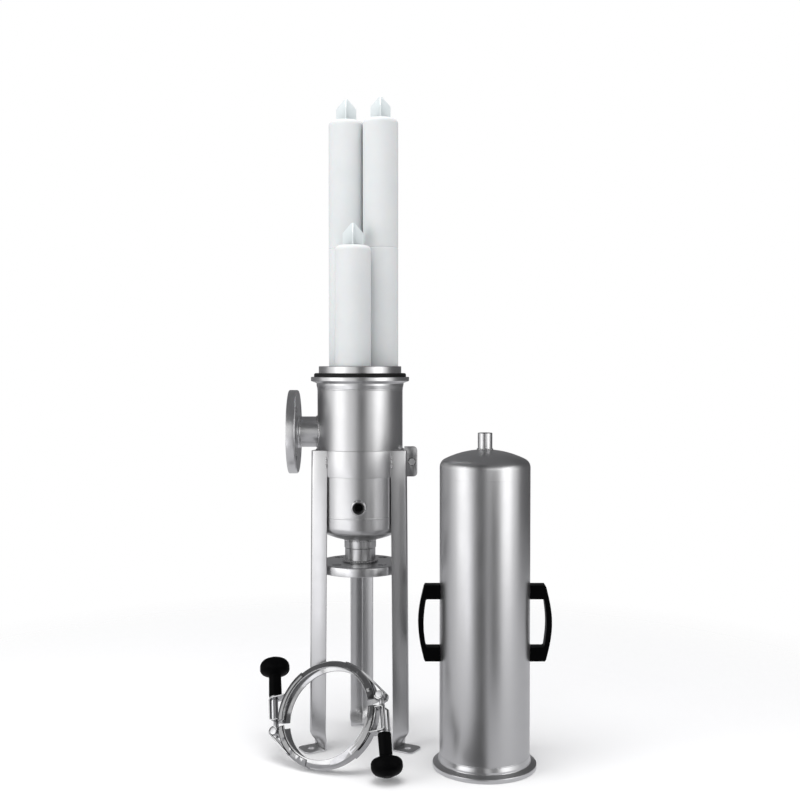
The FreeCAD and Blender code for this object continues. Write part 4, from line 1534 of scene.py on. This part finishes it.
@dataclass
class Lid:
    """The bell: V-flange, shell, dome, vent and two black bridge handles."""

    x: float = 237.0
    y: float = -140.0
    recess: float = 91.25
    recess_depth: float = 7.5
    shell: float = 518.0
    shell_levels: int = 24
    skirt: float = 18.0
    vent_radius: float = 13.5
    vent_bore: float = 9.33
    vent_length: float = 31.0
    vent_sink: float = 1.0
    vent_thread: float = 22.0
    vent_thread_start: float = 24.0
    handle_level: float = 270.0
    handle_length: float = 142.0
    handle_foot: float = 26.0
    handle_reach: float = 29.0
    handle_bow: float = 11.0
    handle_grip: float = 10.0
    handle_root: float = 3.3
    handle_width: float = 26.0
    handle_sink: float = 6.0
    handle_gap: float = 0.15
    handle_step: float = 2.5
    handle_edge: float = 1.6
    lower_seam: Weld = Weld(0.2, 3.0, 150)
    upper_seam: Weld = Weld(0.06, 3.0, 150)
    vent_weld: Weld = Weld(1.5, 4.2, 30)

    @property
    def top(self) -> float:
        """Height of the dome."""
        return FLANGE.length + self.shell + self.skirt + STOCK.depth

    def on_axis(self, mesh: Mesh, level: float = 0.0) -> Mesh:
        """A part drawn about Z moved to where the lid stands."""
        return shift(mesh, self.x, self.y, level)

    def make(self) -> None:
        """Adds all pieces of the lid."""
        inner = [(STOCK.bore, -self.recess_depth, 0.5), (self.recess, -self.recess_depth, 0.4),
                 (self.recess, 0.0, 0.5)]
        flange = upside_down(turned(FLANGE.outline() + inner, LARGE_STEPS))
        Piece("ferrule_of_lid", self.on_axis(flange), TURNED, Slot.TURNED,
              stands_for=("lid_ferrule",)).placed()
        shell = STOCK.tube(FLANGE.length, self.shell, self.shell_levels)
        Piece("shell_of_lid", self.on_axis(shell), BLASTED, Slot.SATIN, stands_for=("lid_shell",)).placed()
        seam = FLANGE.length + self.shell
        dome = STOCK.dished_end(self.vent_bore, self.skirt)
        Piece("dome_of_lid", self.on_axis(dome, seam), BLASTED, Slot.SATIN, stands_for=("lid_dome",)).placed()
        for name, level, weld in (("lower", FLANGE.length, self.lower_seam),
                                  ("upper", seam, self.upper_seam)):
            Piece("seam_%s_of_lid" % name, self.on_axis(weld.ring(STOCK.radius), level), BLASTED,
                  Slot.SATIN).placed()
        self.make_vent()
        for name, azimuth in (("left", 180.0), ("right", 0.0)):
            self.make_handle(name, azimuth)
        dressed(["handle_studs"], MACHINED)

    def make_vent(self) -> None:
        """The vent nozzle with its inner thread and its weld on the dome."""
        start = self.top - self.vent_sink
        end = self.top + self.vent_length
        nozzle = turned([(self.vent_bore, start), (self.vent_radius, start),
                         (self.vent_radius, end, 1.1), (self.vent_bore + 1.2, end, 0.3),
                         (self.vent_bore + 0.2, end - 1.2)], 80)
        inside = PORT_THREAD.helix(end - self.vent_thread_start, self.vent_thread)
        Piece("vent_of_lid", self.on_axis(joined([nozzle, inside])), BLASTED, Slot.SATIN,
              stands_for=("vent_nozzle",)).placed()
        welded("vent_weld", self.on_axis(self.vent_weld.ring(self.vent_radius + 0.1), self.top + 0.4))

    def handle_outline(self, foot_steps: int = 12, bow_steps: int = 16) -> Profile:
        """The side view of a bridge handle, with block feet and a bowed grip.

        Args:
            foot_steps: Number of steps along the grip's inner side.
            bow_steps: Number of steps along its outer side.

        Returns:
            The outline, with X away from the lid's axis and Y along the handle.
        """
        half = self.handle_length / 2
        inner = half - self.handle_foot
        face = STOCK.radius + self.handle_reach
        rise = self.handle_bow + self.handle_root - self.handle_grip
        root = STOCK.radius - self.handle_sink
        shelf = face - self.handle_root
        step = self.handle_step
        outline = [(root, half), (root, inner), (shelf, inner, 3.0)]
        outline += [(shelf + rise * math.sin(math.pi * k / foot_steps), inner - 2 * inner * k / foot_steps)
                    for k in range(1, foot_steps)]
        outline += [(shelf, -inner, 3.0), (root, -inner), (root, -half), (face - 1.0, -half, 1.2),
                    (face - 1.0, step - half), (face, step - half, 1.0)]
        outline += [(face + self.handle_bow * math.sin(math.pi * k / bow_steps),
                     step - half + 2 * (half - step) * k / bow_steps) for k in range(1, bow_steps)]
        return outline + [(face, half - step, 1.0), (face - 1.0, half - step), (face - 1.0, half, 1.2)]

    def make_handle(self, name: str, azimuth: float) -> None:
        """One bridge handle, cut to the shell.

        Args:
            name: Which handle it is.
            azimuth: Its direction from the lid's axis, in degrees.
        """
        bar = turn(slab(self.handle_outline(), -self.handle_width / 2, self.handle_width), 90, "X")
        length = 3 * self.handle_length
        wall = shift(rod(STOCK.radius + self.handle_gap, length, LARGE_STEPS), 0, 0, -length / 2)
        bar = eased(cut(bar, [wall]), self.handle_edge, 3, 55)
        bar = shift(turn(bar, azimuth, "Z"), 0, 0, self.handle_level)
        Piece("bridge_handle_" + name, self.on_axis(bar), BLACK_MOULDED, Slot.BLACK,
              stands_for=("handle_" + name,), crease=40).placed()


@dataclass
class Clamp:
    """The split V-band clamp in its own plane: X through the joints, Y along the bolts, Z its axis."""

    sheet: float = 2.5
    crown_gap: float = 1.3
    lip: float = 87.0
    split: float = 12.0
    strap_edge: float = 0.35
    tee_radius: float = 7.0
    tee_length: float = 27.0
    bolt: float = 5.0
    bolt_core: float = 0.85
    bolt_neck: float = 16.0
    bolt_tail: float = 45.0
    seat: float = 67.7
    washer: float = 2.5
    washer_bore: float = 5.05
    washer_radius: float = 11.0
    knob_gap: float = 0.3
    knob_sleeve: float = 12.5
    knob_length: float = 42.0
    knob_rim: float = 29.0
    knob_height: float = 37.0
    bush: float = 7.55
    bush_length: float = 20.0
    knob_bore: float = 5.3
    knob_bore_depth: float = 59.0

    def __post_init__(self) -> None:
        """Reads the clamp's place and axes from the joints of its two bolts."""
        joints = {joint["name"]: joint for joint in frame["joints"]}
        self.trunnions = {side: Vector(joints[side + "_bolt_swing"]["pos_m"]) / MILLIMETRE
                          for side in ("left", "right")}
        self.centre = (self.trunnions["left"] + self.trunnions["right"]) / 2
        self.normal = Vector(joints["left_bolt_swing"]["axis"]).normalized()
        self.up = Vector(joints["left_knob_travel"]["axis"]).normalized()
        self.right = self.up.cross(self.normal)

    @property
    def knob_start(self) -> float:
        """Distance of a knob's lower face from its trunnion."""
        return self.seat + self.washer + self.knob_gap

    @property
    def crown(self) -> float:
        """Outer radius of the ring's crown."""
        return FLANGE.radius + self.crown_gap + self.sheet

    def place(self) -> Matrix:
        """The matrix from the clamp's plane to the floor."""
        axes = Matrix((self.right, self.up, self.normal)).transposed().to_4x4()
        return Matrix.Translation(self.centre) @ axes

    def bolt_place(self, side: str) -> Matrix:
        """The matrix that lays a part drawn along Z on one bolt, from its trunnion outwards.

        Args:
            side: Which bolt it is.

        Returns:
            The matrix, which doesn't mirror.
        """
        along = self.up if side == "left" else -self.up
        across = self.normal.cross(along)
        axes = Matrix((across, self.normal, along)).transposed().to_4x4()
        if axes.to_3x3().determinant() < 0:
            axes = Matrix((-across, self.normal, along)).transposed().to_4x4()
        return Matrix.Translation(self.trunnions[side]) @ axes

    def half_width(self, radius: float) -> float:
        """Half the ring's inner width at a radius."""
        return FLANGE.rim + (FLANGE.radius - radius) * math.tan(math.radians(FLANGE.taper))

    def channel(self) -> Profile:
        """The ring's section, open to the inside, with rolled lips.

        Returns:
            The section.
        """
        step = self.sheet / math.cos(math.radians(FLANGE.taper))
        bore = self.crown - self.sheet
        lip = self.half_width(self.lip)
        inner = self.half_width(bore)
        upper = [(self.lip, lip, 0.7), (self.lip, lip + step, 0.9),
                 (self.crown, self.half_width(self.crown) + step, 3.0)]
        lower = [(radius, -level, ease) for radius, level, ease in upper[::-1]]
        return upper + lower + [(bore, -inner, 0.6), (bore, inner, 0.6)]

    def make(self) -> None:
        """Adds both halves, their straps, the bolts, washers and knobs."""
        offset = math.degrees(math.asin(self.split / 2 / self.crown))
        for name, start in (("upper", 0.0), ("lower", 180.0)):
            half = swept(self.channel(), start + offset, 180 - 2 * offset, 96)
            Piece("clamp_half_" + name, mapped(half, self.place()), POLISHED, Slot.CLAMP,
                  stands_for=("clamp_%s_band" % name,), crease=36).placed()
            for strap in ("saddle", "trunnion_loop"):
                node = "clamp_%s_%s" % (name, strap)
                Piece(node + "_strap", node_copy(node, self.strap_edge), POLISHED, Slot.CLAMP,
                      stands_for=(node,), crease=36).placed()
        for side, bolt, washer, knob in (("left", Body.LEFT_BOLT, Body.LEFT_WASHER, Body.LEFT_KNOB),
                                         ("right", Body.RIGHT_BOLT, Body.RIGHT_WASHER, Body.RIGHT_KNOB)):
            self.make_bolt(side, bolt)
            self.make_washer(side, washer)
            self.make_knob(side, knob)

    def make_bolt(self, side: str, body: Body) -> None:
        """One T-bolt with its cross head and its thread.

        Args:
            side: Which bolt it is.
            body: The body that it is.
        """
        tee = turn(rod(self.tee_radius, self.tee_length, 48, 1.0), 90, "X")
        end = self.knob_start + self.bolt_tail
        parts = [shift(tee, 0, self.tee_length / 2, 0), rod(self.bolt - self.bolt_core, end, 40, 0.8),
                 rod(self.bolt - 0.1, self.bolt_neck, 40, 0.5),
                 CLAMP_THREAD.helix(self.bolt_neck - 0.5, end - self.bolt_neck - 1.0)]
        Piece(side + "_t_bolt", mapped(joined(parts), self.bolt_place(side)), MACHINED,
              Slot.FASTENER, body, (side + "_tee_bolt",), 40).placed()

    def make_washer(self, side: str, body: Body) -> None:
        """The washer under one knob.

        Args:
            side: Which bolt it lies on.
            body: The body that it is.
        """
        ring = turned([(self.washer_bore, 0, 0.2), (self.washer_radius, 0, 0.4),
                       (self.washer_radius, self.washer, 0.4), (self.washer_bore, self.washer, 0.2)], 64)
        Piece(side + "_washer_ring", mapped(shift(ring, 0, 0, self.seat), self.bolt_place(side)),
              MACHINED, Slot.FASTENER, body, (side + "_thrust_washer",)).placed()

    def make_knob(self, side: str, body: Body) -> None:
        """One mushroom knob with its long sleeve, and the threaded bush in its mouth.

        Args:
            side: Which bolt it turns on.
            body: The body that it is.
        """
        sleeve, rim = self.knob_sleeve, self.knob_rim
        top = self.knob_length + self.knob_height
        profile = [(0.0, self.knob_bore_depth), (self.knob_bore, self.knob_bore_depth),
                   (self.knob_bore, self.bush_length), (self.bush, self.bush_length),
                   (self.bush + 0.05, 0.0, 0.2), (sleeve - 0.4, 0.0, 0.5), (sleeve, 3.0, 0.4),
                   (sleeve - 0.6, self.knob_length, 2.5), (rim, self.knob_length + 7.0, 9.0),
                   (rim, top - 9.0, 14.0), (8.0, top, 12.0), (0.0, top)]
        knob = shift(turned(profile, 96, closed=False), 0, 0, self.knob_start)
        Piece(side + "_mushroom_knob", mapped(knob, self.bolt_place(side)), BLACK_MOULDED,
              Slot.BLACK, body, (side + "_knob",), 40).placed()
        dressed([side + "_knob_bush"], MACHINED)


# Studio, in metres

@dataclass(frozen=True)
class Lamp:
    """A rectangular soft box: its place, what it faces, its size and how bright its face is."""

    name: str
    place: Place
    aim: Place
    size: Point
    glow: float
    mirrored: bool

    def make(self) -> None:
        """Adds the lamp, hidden from the camera."""
        data = bpy.data.lights.new(self.name, "AREA")
        data.shape = "RECTANGLE"
        data.size, data.size_y = self.size
        data.energy = self.glow * self.size[0] * self.size[1] * math.pi
        item = linked(self.name, data)
        item.location = self.place
        towards = Vector(self.aim) - Vector(self.place)
        item.rotation_euler = towards.to_track_quat("-Z", "Y").to_euler()
        item.visible_camera = False
        item.visible_glossy = self.mirrored


@dataclass(frozen=True)
class Card:
    """A flat card that only the gloss sees: its grey level, size, middle and tilt about X."""

    name: str
    level: float
    size: Point
    middle: Place
    tilt: float = 90.0


@dataclass(frozen=True)
class Wall:
    """A curved card round the object: its grey level and its two angles from the reader's side."""

    name: str
    level: float
    start: float
    end: float
    radius: float = 2.0
    low: float = -0.1
    high: float = 2.4
    steps: int = 24


@dataclass
class Studio:
    """The pale floor, lamps, cards and camera."""

    camera: Place = (0.079, -2.217, 0.7457)
    lens: float = 50.4
    pitch: float = 88.31
    fill: float = 0.62
    fill_tint: float = 1.02
    card_tint: float = 1.03
    floor_white: float = 0.95
    floor_grey: float = 0.64
    floor_radius: float = 5.0
    floor_fade: Point = (0.75, 1.5)
    lamps: Tuple[Lamp, ...] = (
        Lamp("left_box", (-1.25, -0.95, 0.75), (0.05, 0.0, 0.6), (0.9, 1.7), 1.2, True),
        Lamp("right_box", (1.5, -1.2, 0.75), (0.1, 0.0, 0.6), (0.9, 1.7), 1.35, True),
        Lamp("top_box", (0.0, -0.5, 2.9), (0.1, 0.0, 0.0), (1.8, 1.8), 3.8, False),
        Lamp("side_box", (-1.9, -0.9, 1.3), (0.05, 0.0, 0.7), (1.2, 1.2), 2.2, False))
    cards: Tuple[Card, ...] = (
        Card("floor_strip", 0.07, (0.19, 0.50), (0.145, -0.51, -0.0006), 0.0),
        Card("front_card", 0.05, (0.31, 2.3), (0.075, -0.72, 1.05)),
        Card("left_low_card", 2.0, (0.26, 0.5), (-0.47, -0.85, 0.15)),
        Card("front_low_card", 0.06, (0.29, 0.64), (0.475, -0.72, 0.22)),
        Card("front_high_card", 0.19, (3.2, 1.2), (0.0, -1.3, 1.8)),
        Card("ceiling_card", 0.18, (5.2, 5.2), (0.0, 0.0, 2.4), 0.0))
    walls: Tuple[Wall, ...] = (Wall("left_card", 0.20, -205.0, -98.0),
                               Wall("right_card", 0.11, 82.0, 155.0))

    def make(self) -> None:
        """Adds the whole studio."""
        self.make_world()
        self.make_floor()
        for lamp in self.lamps:
            lamp.make()
        for card in self.cards:
            self.make_card(card)
        for wall in self.walls:
            self.make_wall(wall)
        self.make_camera()
        bpy.context.scene.view_settings.view_transform = "Standard"

    def make_camera(self) -> None:
        """The camera where the photograph was taken from."""
        data = bpy.data.cameras.new("camera")
        data.lens = self.lens
        data.sensor_width = SENSOR
        item = linked("camera", data)
        item.location = self.camera
        item.rotation_euler = (math.radians(self.pitch), 0.0, 0.0)
        bpy.context.scene.camera = item

    def make_world(self) -> None:
        """A white surround for camera, gloss and glass, and a dimmer one for the fill light."""
        world = bpy.data.worlds.new("studio")
        bpy.context.scene.world = world
        tree = cleared(world)
        output = tree.nodes.new("ShaderNodeOutputWorld")
        mix = tree.nodes.new("ShaderNodeMixShader")
        seen = filled(tree.nodes.new("ShaderNodeBackground"), Color=(1.0, 1.0, 1.0, 1.0))
        dim = filled(tree.nodes.new("ShaderNodeBackground"),
                     Color=(self.fill, self.fill, self.fill * self.fill_tint, 1.0))
        path = tree.nodes.new("ShaderNodeLightPath")
        largest = path.outputs["Is Camera Ray"]
        for name in ("Is Glossy Ray", "Is Transmission Ray"):
            node = tree.nodes.new("ShaderNodeMath")
            node.operation = "MAXIMUM"
            tree.links.new(largest, node.inputs[0])
            tree.links.new(path.outputs[name], node.inputs[1])
            largest = node.outputs[0]
        for source, target in ((largest, mix.inputs[0]), (dim.outputs[0], mix.inputs[1]),
                               (seen.outputs[0], mix.inputs[2]),
                               (mix.outputs[0], output.inputs["Surface"])):
            tree.links.new(source, target)

    def make_floor(self) -> None:
        """A white floor that keeps the shadow and fades into the surround, and a grey one for the gloss."""
        graph = Graph(bpy.data.materials.new("floor_white"))
        graph.put(Roughness=0.9, Specular_IOR_Level=0.0, Base_Color=(*(self.floor_white,) * 3, 1.0))
        reach = graph.node("VectorMath")
        reach.operation = "LENGTH"
        graph.link(graph.places, reach.inputs[0])
        graph.feed(graph.ranged(reach.outputs["Value"], 1.0, 0.0, *self.floor_fade), "Alpha")
        self.add_stage("floor", self.disc(-0.0004), graph.material).visible_glossy = False
        self.add_card("floor_card", self.disc(-0.0008), self.floor_grey)

    def disc(self, level: float) -> Mesh:
        """A level disc as large as the floor.

        Args:
            level: Its height.

        Returns:
            The mesh.
        """
        mesh = bmesh.new()
        bmesh.ops.create_circle(mesh, cap_ends=True, segments=96, radius=self.floor_radius)
        return shift(mesh, 0, 0, level)

    def add_stage(self, name: str, mesh: Mesh, material: bpy.types.Material) -> bpy.types.Object:
        """Adds a part of the studio.

        Args:
            name: Its name.
            mesh: Its mesh.
            material: Its material.

        Returns:
            The new object.
        """
        item = linked(name, settled(mesh, name))
        item.data.materials.append(material)
        return item

    def add_card(self, name: str, mesh: Mesh, level: float) -> None:
        """Adds a part of the studio that glows and that only glossy rays see.

        Args:
            name: Its name.
            mesh: Its mesh.
            level: Its grey level.
        """
        material = bpy.data.materials.new(name)
        tree = cleared(material)
        output = tree.nodes.new("ShaderNodeOutputMaterial")
        glow = filled(tree.nodes.new("ShaderNodeEmission"),
                      Color=(level, level, level * self.card_tint, 1.0))
        tree.links.new(glow.outputs[0], output.inputs["Surface"])
        item = self.add_stage(name, mesh, material)
        item.visible_camera = False
        item.visible_diffuse = False
        item.visible_shadow = False
        item.visible_transmission = False

    def make_card(self, card: Card) -> None:
        """Adds one flat card, as a studio uses to shape steel.

        Args:
            card: The card.
        """
        mesh = bmesh.new()
        bmesh.ops.create_grid(mesh, x_segments=1, y_segments=1, size=0.5)
        bmesh.ops.scale(mesh, vec=(*card.size, 1), verts=mesh.verts)
        self.add_card(card.name, shift(turn(mesh, card.tilt, "X"), *card.middle), card.level)

    def make_wall(self, wall: Wall) -> None:
        """Adds one curved card.

        Args:
            wall: The card.
        """
        mesh = bmesh.new()
        first, last = [mesh.verts.new((0, -wall.radius, level)) for level in (wall.low, wall.high)]
        mesh.edges.new((first, last))
        curve = spun(turn(mesh, wall.start, "Z"), wall.end - wall.start, wall.steps)
        self.add_card(wall.name, curve, wall.level)


def main() -> None:
    """Builds the studio and every sub-assembly."""
    logging.basicConfig(level=logging.INFO, format="%(message)s")
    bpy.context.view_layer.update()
    Studio().make()
    bowl = Bowl()
    bowl.make()
    for name, azimuth, modules, body in (("right", 13.0, 2, Body.CARTRIDGE_RIGHT),
                                         ("rear", 133.0, 2, Body.CARTRIDGE_REAR),
                                         ("front", 253.0, 1, Body.CARTRIDGE_FRONT)):
        Cartridge(name, azimuth, modules, bowl.joint, body).make()
    Stand(bowl.band_bottom, bowl.band).make()
    Lid().make()
    Clamp().make()


if __name__ == "__main__":
    main()
